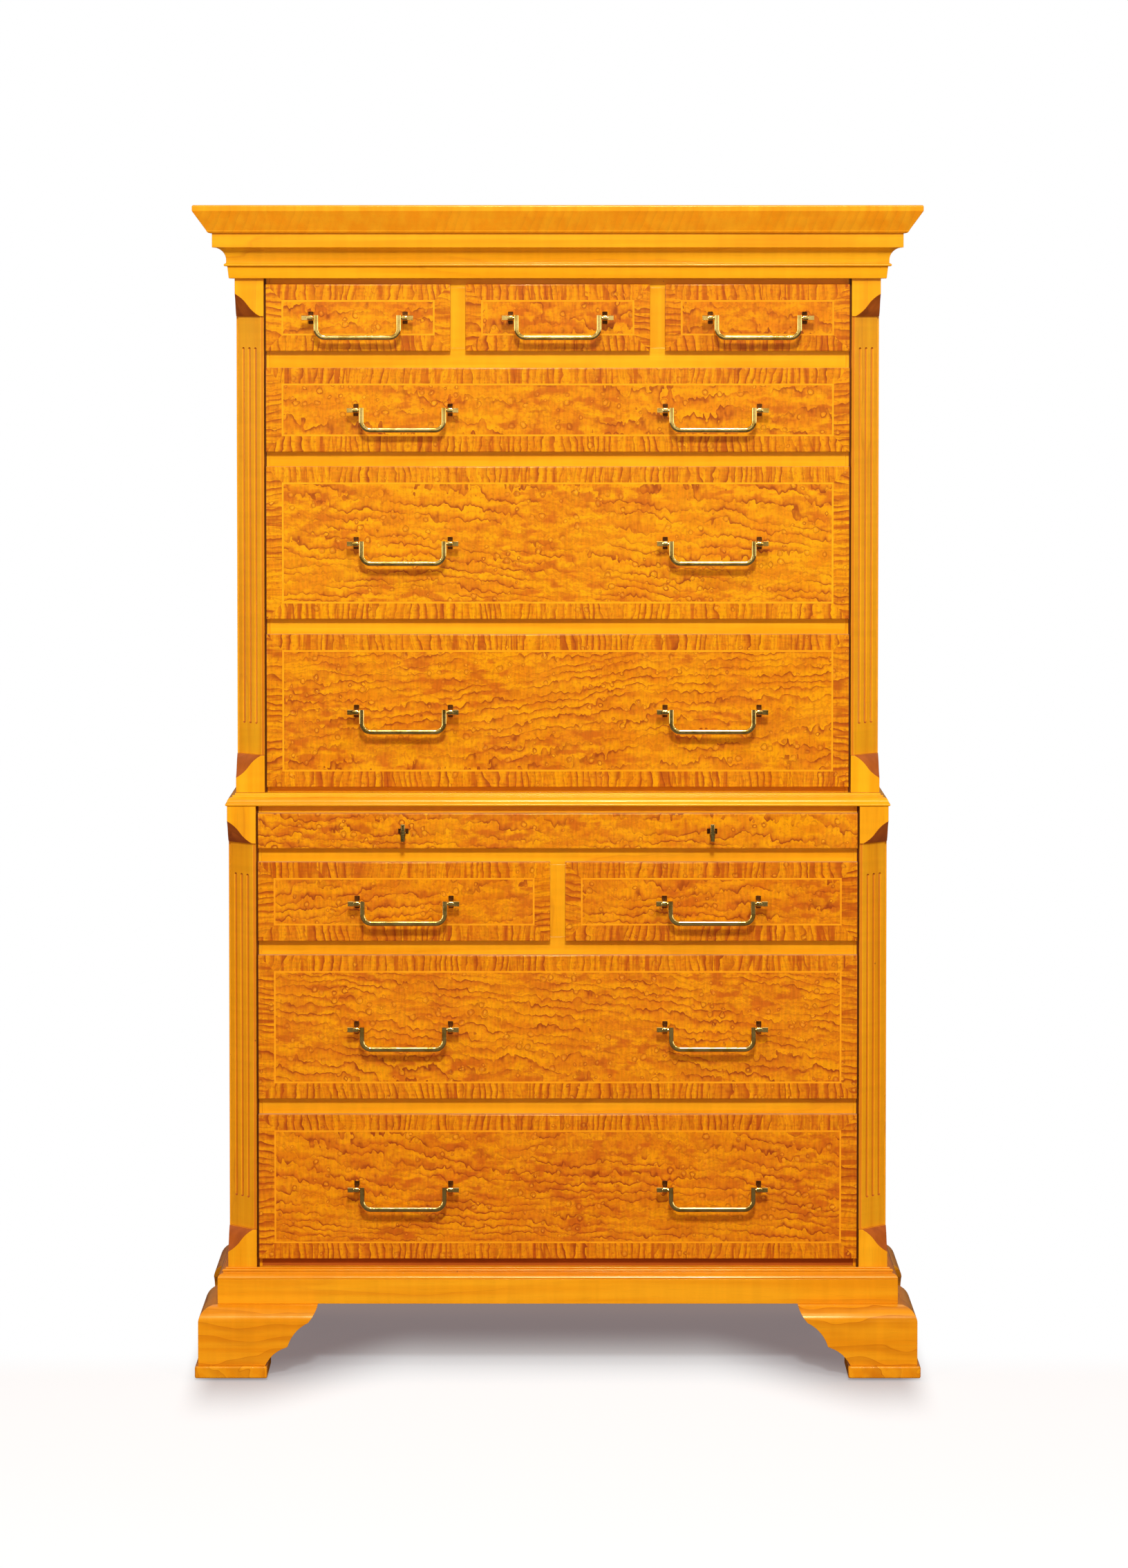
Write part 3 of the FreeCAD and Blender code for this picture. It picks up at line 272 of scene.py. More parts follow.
def makeTimber(name, **changes):
    # Plain solid timber, cut from rings that wander along the board.
    look = dict(timberLook, **changes)
    material, tree = newMaterial(name)
    place, tone = layer(tree, "grain")["Vector"], layer(tree, "tone")["Fac"]
    axes = addNode(tree, "ShaderNodeSeparateXYZ", {0: place}).outputs
    spans = look["spans"]
    height = calc(tree, "MULTIPLY_ADD", axes[1], look["ringsPerMetre"],
                  times(tree, axes[2], look["ringsPerMetre"] * look["slant"]))
    for field, detail in (("wander", 2.0), ("shiver", 1.0)):
        height = calc(tree, "MULTIPLY_ADD", cloud(tree, place, look[field], detail, flat=False),
                      look[field + "Rings"], height)
    terrace = calc(tree, "FRACT", height)

    colour = mixColour(tree, pattern(tree, place, look, "streaks", 2.0, False),
                       shade(look["pale"]), shade(look["middle"]))
    strength = cloud(tree, place, look["lineShift"], 1.0, flat=False)
    strength = softStep(tree, strength, *spans["lineShift"], look["lineRest"], look["lineStrength"])
    rise = times(tree, softStep(tree, terrace, *spans["rise"]), strength)
    edge = times(tree, softStep(tree, terrace, 0.0, look["lineWidth"], 1.0, 0.0), strength)
    colour = mixColour(tree, calc(tree, "MAXIMUM", rise, edge), colour, shade(look["line"]))
    cells = addNode(tree, "ShaderNodeTexVoronoi", {"Vector": place, "Scale": look["specksPerMetre"]})
    lottery = addNode(tree, "ShaderNodeSeparateColor", {0: cells.outputs["Color"]}).outputs[0]
    speck = times(tree, calc(tree, "GREATER_THAN", lottery, look["specks"]),
                  softStep(tree, cells.outputs["Distance"], *spans["speck"]))
    colour = mixColour(tree, speck, colour, shade(look["speck"]))

    grey = times(tree, pattern(tree, place, look, "silk", 2.0, False),
                 pattern(tree, place, look, "fibre", 1.0, False))
    ridges = cloud(tree, place, look["ridges"], 1.0, flat=False)
    worn = wear(tree, cloud(tree, place, look["wearing"], 3.0, flat=False), look)
    finishSurface(tree, look, deepen(tree, colour, grey, tone, look), ridges, worn)
    return material


brassLook = {"pale": "#F2CB72", "deep": "#D0A040", "roughness": 0.12,
             "wear": (0.35, 0.75, -0.04, 0.08), "metallic": 1.0, "relief": 0.03,
             "reliefDepth": 0.0001, "stains": (60.0, 60.0, 60.0),
             "scratches": (300.0, 2600.0, 2600.0), "spans": {"stains": (0.42, 0.72)}}


def makeMetal(name, **changes):
    look = dict(brassLook, **changes)
    material, tree = newMaterial(name)
    place = addNode(tree, "ShaderNodeTexCoord").outputs["Object"]
    colour = mixColour(tree, pattern(tree, place, look, "stains", 3.0, False),
                       shade(look["pale"]), shade(look["deep"]))
    scratches = cloud(tree, place, look["scratches"], 2.0, flat=False)
    finishSurface(tree, look, colour, scratches, wear(tree, scratches, look))
    return material


veneer = makeVeneer("figured_veneer")
bandVeneer = makeVeneer(
    "crossband_veneer", hills=(5.0, 11.0, 1.0), hillRings=4.0, swells=(16.0, 34.0, 1.0),
    swellRings=1.1, drips=(60.0, 60.0, 1.0), dripRings=0.5, eyeRings=0.35, eyeShare=0.74,
    ground=(9.0, 90.0, 1.0), blotch=(10.0, 130.0, 1.0), patches=(5.0, 24.0, 1.0), fade=0.92,
    lineShift=(6.0, 26.0, 1.0), breaks=(30.0, 20.0, 1.0), edge=0.9, deep="#BC5A12")
timber = makeTimber("frame_timber")
crossTimber = makeTimber("crown_timber", pale="#FDAA1A", middle="#F99B12", ringsPerMetre=70.0,
                         wander=(1.6, 7.0, 7.0), wanderRings=1.4, lineStrength=0.4, specks=0.995)
footTimber = makeTimber("foot_timber", line="#B4600C", ringsPerMetre=30.0,
                        wander=(6.0, 15.0, 15.0), wanderRings=3.4, lineStrength=0.9,
                        lineRest=0.5, lineWidth=0.05)
stringing = makeTimber("stringing_timber", pale="#FFB31A", middle="#FCA814", line="#EE9A14",
                       specks=2.0)
# painted shade: near-black timber standing for the deep shade in the gap beside the drawers
gapShadeTimber = makeTimber("gap_shade_timber", pale="#6E3A12", middle="#5E300E", line="#46220A")
# end grain, darker and duller, also used as painted shade on the lowest rail and the column stops
endGrainAndShadeTimber = makeTimber("end_grain_and_shade_timber", pale="#BC641C", middle="#A85517", line="#74380F",
                       roughness=0.45, specular=0.2)
# painted shade: darker timber for the hollows of the flutes
grooveShadeTimber = makeTimber("groove_shade_timber", pale="#DE8A1C", middle="#D27C18")
boxTimber = makeTimber("drawer_timber", pale="#E3BE84", middle="#D6AC6C", line="#B98848",
                       roughness=0.5, specular=0.3)
carcaseTimber = makeTimber("carcase_timber", pale="#C98A45", middle="#B97A38", line="#96602A",
                           roughness=0.55, specular=0.25)
brass = makeMetal("polished_brass")
darkBrass = makeMetal("dark_brass", pale="#6E4220", deep="#43240F", roughness=0.30)
steel = makeMetal("glide_steel", pale="#D8D2C8", deep="#A39C90", roughness=0.26)
print("finishes made")


# pieces

def link(name, mesh):
    piece = bpy.data.objects.new(name, mesh)
    scene.collection.objects.link(piece)
    return piece


def settle(piece):
    # modifiers become the mesh itself
    evaluated = piece.evaluated_get(bpy.context.evaluated_depsgraph_get())
    mesh = bpy.data.meshes.new_from_object(evaluated)
    piece.modifiers.clear()
    piece.data = mesh


shading = {"sharpest": math.radians(40)}      # edges that turn more than this stay crisp


def finishPiece(work, name, materials, body, slot, *nodes):
    for face in work.faces:
        face.smooth = True
    for edge in work.edges:
        edge.smooth = edge.calc_face_angle(0) < shading["sharpest"]
    mesh = bpy.data.meshes.new(name)
    work.to_mesh(mesh)
    work.free()
    for material in materials:
        mesh.materials.append(material)
    piece = link(name, mesh)
    weights = piece.modifiers.new("weights", "WEIGHTED_NORMAL")
    weights.keep_sharp = True
    settle(piece)
    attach(piece, body)
    if nodes:
        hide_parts(*nodes)
    return piece


def islandsOf(work):
    seen, islands = set(), []
    for start in work.verts:
        if start in seen:
            continue
        seen.add(start)
        island, queue = [], [start]
        while queue:
            vert = queue.pop()
            island.append(vert)
            for edge in vert.link_edges:
                other = edge.other_vert(vert)
                if other not in seen:
                    seen.add(other)
                    queue.append(other)
        islands.append(island)
    return islands


def boxOf(verts):
    low = Vector([min(v.co[i] for v in verts) for i in range(3)])
    high = Vector([max(v.co[i] for v in verts) for i in range(3)])
    return low, high


def solidsOf(node):
    # a node's triangles come solid by solid, and a solid is whole once no edge is left single
    mesh = frame["nodes"][node].data
    work, corners, single = bmesh.new(), {}, set()
    for polygon in mesh.polygons:
        keys = [tuple(round(c, 6) for c in mesh.vertices[i].co) for i in polygon.vertices]
        for key in keys:
            if key not in corners:
                corners[key] = work.verts.new(key)
        if len(set(keys)) == 3:
            work.faces.new([corners[key] for key in keys])
            for side in range(3):
                single ^= {frozenset((keys[side], keys[side - 1]))}
        if not single:
            corners = {}
    return work


# how much deeper the lowest boards are than the highest, how far one board differs from the next,
# and where in the log it may lie
logLook = {"deepest": 0.5, "uneven": 0.05, "places": (0.5, 6.0)}


def toneAt(height, offset=0.0):
    return max(0.0, min(1.0, logLook["deepest"] * (1.0 - height / cadBox[1].z) + offset))


def cutFromLog(work, seed, along=None, deeper=0.0):
    # each separate board has its grain along its length, and a place of its own in the log
    grain = work.verts.layers.float_vector.new("grain")
    tone = work.verts.layers.float.new("tone")
    draw = random.Random(seed)
    for island in islandsOf(work):
        low, high = boxOf(island)
        sizes = high - low
        main = max(range(3), key=lambda i: sizes[i]) if along is None else along
        rest = sorted((i for i in range(3) if i != main), key=lambda i: -sizes[i])
        log = Vector([draw.uniform(*logLook["places"]) for _ in range(3)])
        boardTone = toneAt((low.z + high.z) / 2,
                           deeper + draw.uniform(-logLook["uneven"], logLook["uneven"]))
        for vert in island:
            vert[grain] = Vector((vert.co[main], vert.co[rest[0]], vert.co[rest[1]])) + log
            vert[tone] = boardTone


boardEdges = {"easing": 0.5 * mm, "sharp": math.radians(28), "flat": math.radians(0.3),
              "shortest": 1.2 * mm, "steps": 2}


def sharpEdges(work, sharp, shortest):
    # the flat faces are made whole first, so that only real edges are left
    bmesh.ops.dissolve_limit(work, angle_limit=boardEdges["flat"], verts=work.verts,
                             edges=work.edges)
    return [edge for edge in work.edges if edge.calc_face_angle(0) > sharp
            and edge.calc_length() > shortest]


def chamfer(work, edges, width, steps=1, material=0):
    bmesh.ops.bevel(work, geom=edges, offset=width, offset_type="OFFSET", segments=steps,
                    profile=0.5, affect="EDGES", clamp_overlap=False, material=material)


def easeEdges(work):
    low, high = boxOf(work.verts)
    edges = sharpEdges(work, boardEdges["sharp"], boardEdges["shortest"])
    chamfer(work, edges, boardEdges["easing"], boardEdges["steps"])
    for vert in work.verts:                   # no eased corner lands outside the boards
        vert.co = [min(max(vert.co[i], low[i]), high[i]) for i in range(3)]


def dressBoards(node, material, slot, along=None, deeper=0.0, chosen=None, name=None):
    work = solidsOf(node)
    if chosen:
        spare = [v for island in islandsOf(work) if not chosen(*boxOf(island)) for v in island]
        bmesh.ops.delete(work, geom=spare, context="VERTS")
    easeEdges(work)
    cutFromLog(work, node, along, deeper)
    body = frame["nodes"][node]["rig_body"]
    return finishPiece(work, name or node + "_boards", [material], body, slot, node)


# node: its timber, the axis its grain runs along if not its length, how much deeper its colour is
caseBoards = {
    "waist_moulding": (timber, None, -0.05),
    "upper_case_boards": (timber, None, 0.1), "lower_case_boards": (timber, None, 0.1),
    "bracket_feet": (footTimber, None, 0.3), "back_panels": (carcaseTimber, 2, 0.0),
    "drawer_runners": (carcaseTimber, None, 0.0),
}
slots = {row["node"]: row["material_slot"] for row in frame["record"]["subparts"]}
for node, (material, along, deeper) in caseBoards.items():
    dressBoards(node, material, slots[node], along, deeper)

# painted shade: the strips beside the openings are near black in the narrow gap next to the columns,
# and what shows of the lowest rail takes the darker end-grain timber for the shade under the last
# drawer;
# stained is how far the painted gap shade reaches from each column, lowestFrom and lowestTo bound
# the rail
stripLook = {"stained": 3.6 * mm, "lowestFrom": 170 * mm, "lowestTo": 189 * mm}


def dressRails(node):
    work = solidsOf(node)
    inner = boxOf(work.verts)[1].x - stripLook["stained"]
    easeEdges(work)
    cutFromLog(work, node)
    for side in (-1, 1):
        bmesh.ops.bisect_plane(work, geom=work.verts[:] + work.edges[:] + work.faces[:],
                               plane_co=(side * inner, 0, 0), plane_no=(1, 0, 0))
    # painted shade: near black in the gap beside the columns, the darker end-grain timber on the
    # lowest rail
    for face in work.faces:
        centre = face.calc_center_median()
        if abs(centre.x) > inner:
            face.material_index = 1
        elif stripLook["lowestFrom"] < centre.z < stripLook["lowestTo"]:
            face.material_index = 2
    return finishPiece(work, node + "_boards", [timber, gapShadeTimber, endGrainAndShadeTimber], "case",
                       slots[node], node)


# the sloped faces of the ogee stops and the flutes' ends, cut across the grain, take the darker
# end-grain timber, which is also painted shade on these faces, and the flutes' hollows are darker as
# painted shade;
# levelled, across, facing and square are cosines, and broad is an area in square metres
columnLook = {"deeper": 0.08, "levelled": 0.97, "across": 0.12, "grooveDepth": 1.1 * mm,
              "facing": 0.6, "square": 0.999, "broad": 0.001}


def dressColumns(node):
    work = solidsOf(node)
    easeEdges(work)
    cutFromLog(work, node, 2, columnLook["deeper"])
    for island in islandsOf(work):
        low, high = boxOf(island)
        faces = {face for vert in island for face in vert.link_faces}
        outward = Vector((math.copysign(1, low.x), -1, 0)).normalized()
        shaft = [face for face in faces if face.normal.dot(outward) > columnLook["facing"]
                 and abs(face.normal.z) < columnLook["across"]]
        cant = max(face.calc_center_median().dot(outward) for face in shaft
                   if face.normal.dot(outward) > columnLook["square"]
                   and face.calc_area() > columnLook["broad"])
        # the sloped faces: partly end grain, partly painted shade
        for face in faces:
            if columnLook["across"] < abs(face.normal.z) < columnLook["levelled"]:
                face.material_index = 1
        # painted shade: the faces deep in the flutes
        for face in shaft:
            if cant - face.calc_center_median().dot(outward) > columnLook["grooveDepth"]:
                face.material_index = 2
    return finishPiece(work, node + "_posts", [timber, endGrainAndShadeTimber, grooveShadeTimber], "case", slots[node],
                       node)


for node in ("lower_drawer_rails", "upper_drawer_rails"):
    dressRails(node)
for node in ("lower_corner_columns", "upper_corner_columns"):
    dressColumns(node)

# piece: its node, the height that parts the node's boards, whether it is those above it, its
# timber, the axis its grain runs along if not its length, how much deeper its colour is
partedBoards = {
    "cornice_crown": ("cornice_moulding", 1.784, True, crossTimber, 2, -0.02),
    "cornice_mouldings": ("cornice_moulding", 1.784, False, timber, None, 0.3),
    "plinth_mouldings": ("plinth_and_moulding", 0.15, True, timber, None, 0.6),
    "plinth_boards": ("plinth_and_moulding", 0.15, False, timber, None, 0.17),
}
for name, (node, level, isAbove, material, along, deeper) in partedBoards.items():
    dressBoards(node, material, slots[node], along, deeper,
                lambda low, high: (low.z > level) == isAbove, name)
print("case boards dressed")


# a front is a lipped slab whose face is a panel, a light string and a mitred crossband
frontLook = {"slab": 13.5 * mm, "rounding": 1.5 * mm, "roundingSteps": 3, "band": 24.5 * mm,
             "string": 2.7 * mm, "tongueIn": 6.5 * mm, "tongueLow": 5.5 * mm, "tongueHigh": 7 * mm,
             "depth": 21.5 * mm, "deeper": 1.5, "uneven": 0.04, "places": (1, 8)}
# rings per metre at the sparse and the dense long edge, whether the dense edge is the upper one,
# and how many rings a metre sideways crosses: with more, the figure falls to the right
figure = {"lower_deep_drawer_2": (24, 105, False, 6), "lower_deep_drawer_1": (22, 110, True, 9),
          "lower_left_drawer": (35, 85, False, -8), "lower_right_drawer": (40, 80, False, 3),
          "upper_deep_drawer_2": (18, 105, True, -7), "upper_deep_drawer_1": (18, 100, False, 8),
          "upper_shallow_drawer": (16, 42, True, 2), "top_left_drawer": (24, 50, True, -5),
          "top_middle_drawer": (20, 40, False, 0), "top_right_drawer": (24, 46, True, 5),
          "brushing_slide": (30, 62, False, 5)}
bandRings = 85                                # rings per metre along a crossband
# fronts that took the finish deeper than their height alone gives
deeperFronts = {"top_left_drawer": 0.25, "top_middle_drawer": 0.35, "top_right_drawer": 0.48,
                "upper_shallow_drawer": 0.18, "lower_left_drawer": 0.14, "lower_right_drawer": 0.16}


def makeFront(body, node, banded=True):
    low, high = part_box(node)
    look, draw = frontLook, random.Random(body)
    work = bmesh.new()
    grain = work.loops.layers.float_vector.new("grain")
    rings = work.loops.layers.float_vector.new("rings")
    tone = work.loops.layers.float.new("tone")
    frontTone = look["deeper"] * toneAt((low.z + high.z) / 2,
                                        draw.uniform(-look["uneven"], look["uneven"]))
    frontTone += deeperFronts.get(body, 0.0)
    logs = [Vector((draw.uniform(*look["places"]), draw.uniform(*look["places"]), 0))
            for _ in range(5)]
    sparse, dense, denseAbove, sideways = figure[body]
    size = high - low

    def frameLoop(inset, y, lowIn=0.0, highIn=0.0):
        x0, x1 = low.x + inset, high.x - inset
        z0, z1 = low.z + (lowIn or inset), high.z - (highIn or inset)
        return [work.verts.new(p) for p in ((x0, y, z0), (x1, y, z0), (x1, y, z1), (x0, y, z1))]

    def paint(face, material, side):
        # side 4 is the panel; the band's grain runs across each side of the frame
        face.material_index = material
        for loop in face.loops:
            x, z = loop.vert.co.x, loop.vert.co.z
            if side == 4:
                up = (z - low.z) / size.z if denseAbove else (high.z - z) / size.z
                loop[rings] = (size.z * sparse * up + sideways * x * (1 if denseAbove else -1), up,
                               size.z * (dense - sparse) / 2)
            elif side % 2 == 0:
                x, z = z, x
            if side < 4:
                loop[rings] = (z * bandRings, 0, 0)
            loop[grain] = Vector((x, z, loop.vert.co.y)) + logs[side]
            loop[tone] = frontTone

    def ringBetween(outer, inner, material, panelGrain=False):
        for side in range(4):
            after = (side + 1) % 4
            face = work.faces.new((outer[side], outer[after], inner[after], inner[side]))
            paint(face, material, 4 if panelGrain else side)

    front, back = low.y, low.y + look["slab"]
    band, string, plain, panel = 0, 1, 2, 3
    tongue = (look["tongueIn"], look["tongueLow"], look["tongueHigh"])
    tongueBack = frameLoop(tongue[0], front + look["depth"], *tongue[1:])
    tongueFront = frameLoop(tongue[0], back, *tongue[1:])
    paint(work.faces.new(tongueBack[::-1]), plain, 1)
    ringBetween(tongueBack, tongueFront, plain)
    slabBack = frameLoop(0, back)
    ringBetween(tongueFront, slabBack, plain)
    outer = frameLoop(0, front + look["rounding"])
    ringBetween(slabBack, outer, plain)
    for i in range(1, look["roundingSteps"] + 1):
        angle = math.pi / 2 * i / look["roundingSteps"]
        inner = frameLoop(look["rounding"] * (1 - math.cos(angle)),
                          front + look["rounding"] * (1 - math.sin(angle)))
        ringBetween(outer, inner, band if banded else panel, not banded)
        outer = inner
    if banded:
        inner = frameLoop(look["band"], front)
        ringBetween(outer, inner, band)
        outer = frameLoop(look["band"] + look["string"], front)
        ringBetween(inner, outer, string)
    paint(work.faces.new(outer), panel, 4)
    bmesh.ops.recalc_face_normals(work, faces=work.faces)
    materials = [bandVeneer, stringing, boxTimber, veneer]
    return finishPiece(work, body + "_veneered_front", materials, body, slots[node], node)


for drawer in drawers:
    makeFront(drawer, drawer + "_front")
    dressBoards(drawer + "_box", boxTimber, slots[drawer + "_box"])
makeFront("brushing_slide", "brushing_slide_board", banded=False)
dressBoards("brushing_slide_board", timber, slots["brushing_slide_board"], 0, 0.0,
            lambda low, high: high.y - low.y > frontLook["depth"] * 2, "brushing_slide_shelf")
print("drawers and slide dressed")


# trees that make what repeats
def openTree(name, sizes):
    tree = bpy.data.node_groups.new(name, "GeometryNodeTree")
    tree.interface.new_socket(name="Geometry", in_out="OUTPUT", socket_type="NodeSocketGeometry")
    for title, kind in sizes.items():
        tree.interface.new_socket(name=title, in_out="INPUT", socket_type="NodeSocket" + kind)
    return tree, tree.nodes.new("NodeGroupInput").outputs


def closeTree(tree, geometry, material):
    real = addNode(tree, "GeometryNodeRealizeInstances", {"Geometry": geometry})
    dressed = addNode(tree, "GeometryNodeSetMaterial", {"Geometry": real.outputs[0],
                                                        "Material": material})
    addNode(tree, "NodeGroupOutput", {0: dressed.outputs[0]})


def vectorOf(tree, x=0.0, y=0.0, z=0.0):
    return addNode(tree, "ShaderNodeCombineXYZ", {0: x, 1: y, 2: z}).outputs[0]


def growPiece(name, tree, values, body, slot, *nodes, seed=None):
    piece = link(name, bpy.data.meshes.new(name))
    maker = piece.modifiers.new("maker", "NODES")
    maker.node_group = tree
    for item in tree.interface.items_tree:
        if item.in_out == "INPUT":
            maker[item.identifier] = values[item.name]
    settle(piece)
    materials = list(piece.data.materials)
    work = bmesh.new()
    work.from_mesh(piece.data)
    bpy.data.objects.remove(piece)
    bmesh.ops.recalc_face_normals(work, faces=work.faces)
    if seed:
        cutFromLog(work, seed)
    return finishPiece(work, name, materials, body, slot, *nodes)


bailLook = {"Arm Inset": 22.5 * mm, "Corner Radius": 14 * mm, "Corner Steps": 10,
            "Facet": 2.4 * mm, "Facet Steps": 4, "End Length": 9 * mm, "End Facet": 0.7 * mm,
            "Pin Radius": 2.5 * mm, "Pin Sides": 16, "Brass": brass}


def facetedBar(tree, path, bar, facet, steps=1):
    section = addNode(tree, "GeometryNodeCurvePrimitiveQuadrilateral", {"Width": bar, "Height": bar})
    faceted = addNode(tree, "GeometryNodeFilletCurve", {"Curve": section.outputs[0], "Radius": facet,
                                                        "Count": steps}, mode="POLY")
    swept = addNode(tree, "GeometryNodeCurveToMesh", {"Curve": path, "Fill Caps": True,
                                                      "Profile Curve": faceted.outputs[0]})
    return addNode(tree, "GeometryNodeMergeByDistance", {"Geometry": swept.outputs[0],
                                                         "Distance": 0.01 * mm}).outputs[0]


def pathOf(tree, count, position, radius):
    line = addNode(tree, "GeometryNodeCurvePrimitiveLine")
    points = addNode(tree, "GeometryNodeResampleCurve", {"Curve": line.outputs[0], "Count": count})
    placed = addNode(tree, "GeometryNodeSetPosition", {"Geometry": points.outputs[0],
                                                       "Position": position})
    return addNode(tree, "GeometryNodeSetCurveRadius", {"Curve": placed.outputs[0],
                                                        "Radius": radius}).outputs[0]


def makeBailTree():
    sizes = dict.fromkeys(["Width", "Bar", "Drop", "Arm Inset", "Corner Radius", "Facet",
                           "End Length", "End Facet", "Pin Radius"], "Float")
    sizes.update(dict.fromkeys(["Facet Steps", "Corner Steps", "Pin Sides"], "Int"))
    sizes.update({"Pivot": "Vector", "Brass": "Material"})
    tree, given = openTree("bail_handle", sizes)
    index = addNode(tree, "GeometryNodeInputIndex").outputs[0]
    half = times(tree, given["Width"], 0.5)
    arm = calc(tree, "SUBTRACT", half, given["Arm Inset"])

    # the bow: down one arm, along, and up the other. Its six points are a tip, the foot of the
    # tip's chamfer and a corner, and the same three backwards.
    fromMiddle = calc(tree, "SUBTRACT", index, 2.5)
    away = calc(tree, "ABSOLUTE", fromMiddle)
    isArm = calc(tree, "GREATER_THAN", away, 1.0)
    isEnd = calc(tree, "GREATER_THAN", away, 2.0)
    top = calc(tree, "MULTIPLY_ADD", given["Bar"], 0.5,
               calc(tree, "SUBTRACT", given["Drop"], given["Facet"]))
    rise = calc(tree, "SUBTRACT", times(tree, isArm, top), given["Drop"])
    z = calc(tree, "MULTIPLY_ADD", isEnd, given["Facet"], rise)
    x = times(tree, calc(tree, "SIGN", fromMiddle), arm)
    slimmer = calc(tree, "DIVIDE", times(tree, given["Facet"], -2.0), given["Bar"])
    radius = calc(tree, "MULTIPLY_ADD", isEnd, slimmer, 1.0)
    path = pathOf(tree, 6, vectorOf(tree, x, 0.0, z), radius)
    corner = times(tree, given["Corner Radius"], calc(tree, "SUBTRACT", 1.0, isArm))
    bent = addNode(tree, "GeometryNodeFilletCurve", {"Curve": path, "Radius": corner,
                                                     "Count": given["Corner Steps"]}, mode="POLY")
    bow = facetedBar(tree, bent.outputs[0], given["Bar"], given["Facet"], given["Facet Steps"])

    # an end block outside each post, of four points, with the pin that reaches it through the post
    fromMiddle = calc(tree, "SUBTRACT", index, 1.5)
    isEnd = calc(tree, "GREATER_THAN", calc(tree, "ABSOLUTE", fromMiddle), 1.0)
    reach = calc(tree, "MULTIPLY_ADD", given["End Length"], 0.5,
                 times(tree, calc(tree, "SUBTRACT", isEnd, 1.0), given["End Facet"]))
    x = times(tree, calc(tree, "SIGN", fromMiddle), reach)
    slimmer = calc(tree, "DIVIDE", times(tree, given["End Facet"], -2.0), given["Bar"])
    radius = calc(tree, "MULTIPLY_ADD", isEnd, slimmer, 1.0)
    block = facetedBar(tree, pathOf(tree, 4, vectorOf(tree, x), radius), given["Bar"],
                       given["End Facet"])
    blockAt = calc(tree, "MULTIPLY_ADD", given["End Length"], -0.5, half)
    pinLength = calc(tree, "SUBTRACT", blockAt, arm)
    pin = addNode(tree, "GeometryNodeMeshCylinder", {
        "Vertices": given["Pin Sides"], "Radius": given["Pin Radius"], "Depth": pinLength})
    pinAt = vectorOf(tree, times(tree, pinLength, -0.5))
    laid = addNode(tree, "GeometryNodeTransform", {
        "Geometry": pin.outputs["Mesh"], "Translation": pinAt,
        "Rotation": (0.0, math.pi / 2, 0.0)})
    ending = addNode(tree, "GeometryNodeJoinGeometry")
    for part in (block, laid.outputs[0]):
        tree.links.new(part, ending.inputs[0])
    sides = addNode(tree, "GeometryNodeMeshLine", {
        "Count": 2, "Start Location": vectorOf(tree, blockAt),
        "Offset": vectorOf(tree, times(tree, blockAt, -2.0))}, mode="OFFSET")
    turned = vectorOf(tree, 0.0, 0.0, times(tree, index, math.pi))
    endings = addNode(tree, "GeometryNodeInstanceOnPoints", {
        "Points": sides.outputs[0], "Instance": ending.outputs[0], "Rotation": turned})

    whole = addNode(tree, "GeometryNodeJoinGeometry")
    for part in (bow, endings.outputs[0]):
        tree.links.new(part, whole.inputs[0])
    hung = addNode(tree, "GeometryNodeTransform", {"Geometry": whole.outputs[0],
                                                   "Translation": given["Pivot"]})
    closeTree(tree, hung.outputs[0], given["Brass"])
    return tree


bailTree = makeBailTree()
bails = [name for name in frame["nodes"] if name.endswith("_bail")]
for name in bails:
    low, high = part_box(name)
    bar = high.y - low.y
    pivot = Vector(((low.x + high.x) / 2, low.y + bar / 2, high.z - bar / 2))
    sizes = dict(bailLook, Width=high.x - low.x, Bar=bar, Drop=high.z - low.z - bar, Pivot=pivot)
    growPiece(name + "_brass", bailTree, sizes, name, slots[name], name)
print("bails hung")


# posts with a rounded nose that hold the bail's pin, and plates behind them, which are told from
# posts and knobs by how thin they are
postLook = {"noseRadius": 2.2 * mm, "noseSteps": 5, "facet": 0.6 * mm, "plateFacet": 0.7 * mm,
            "plateAtMost": 3 * mm, "knobFacet": 0.9 * mm}


def isPlate(low, high):
    return high.y - low.y < postLook["plateAtMost"]


def addBlock(work, outline, x0, x1, facet, material):
    # outline holds (y, z) points, anticlockwise as seen from +X
    ends = [[work.verts.new((x, y, z)) for y, z in outline] for x in (x0, x1)]
    faces = [work.faces.new(ends[0][::-1]), work.faces.new(ends[1])]
    rims = [edge for face in faces for edge in face.edges]
    count = len(outline)
    for i in range(count):
        j = (i + 1) % count
        faces.append(work.faces.new((ends[0][i], ends[0][j], ends[1][j], ends[1][i])))
    for face in faces:
        face.material_index = material
    chamfer(work, rims, facet, material=material)


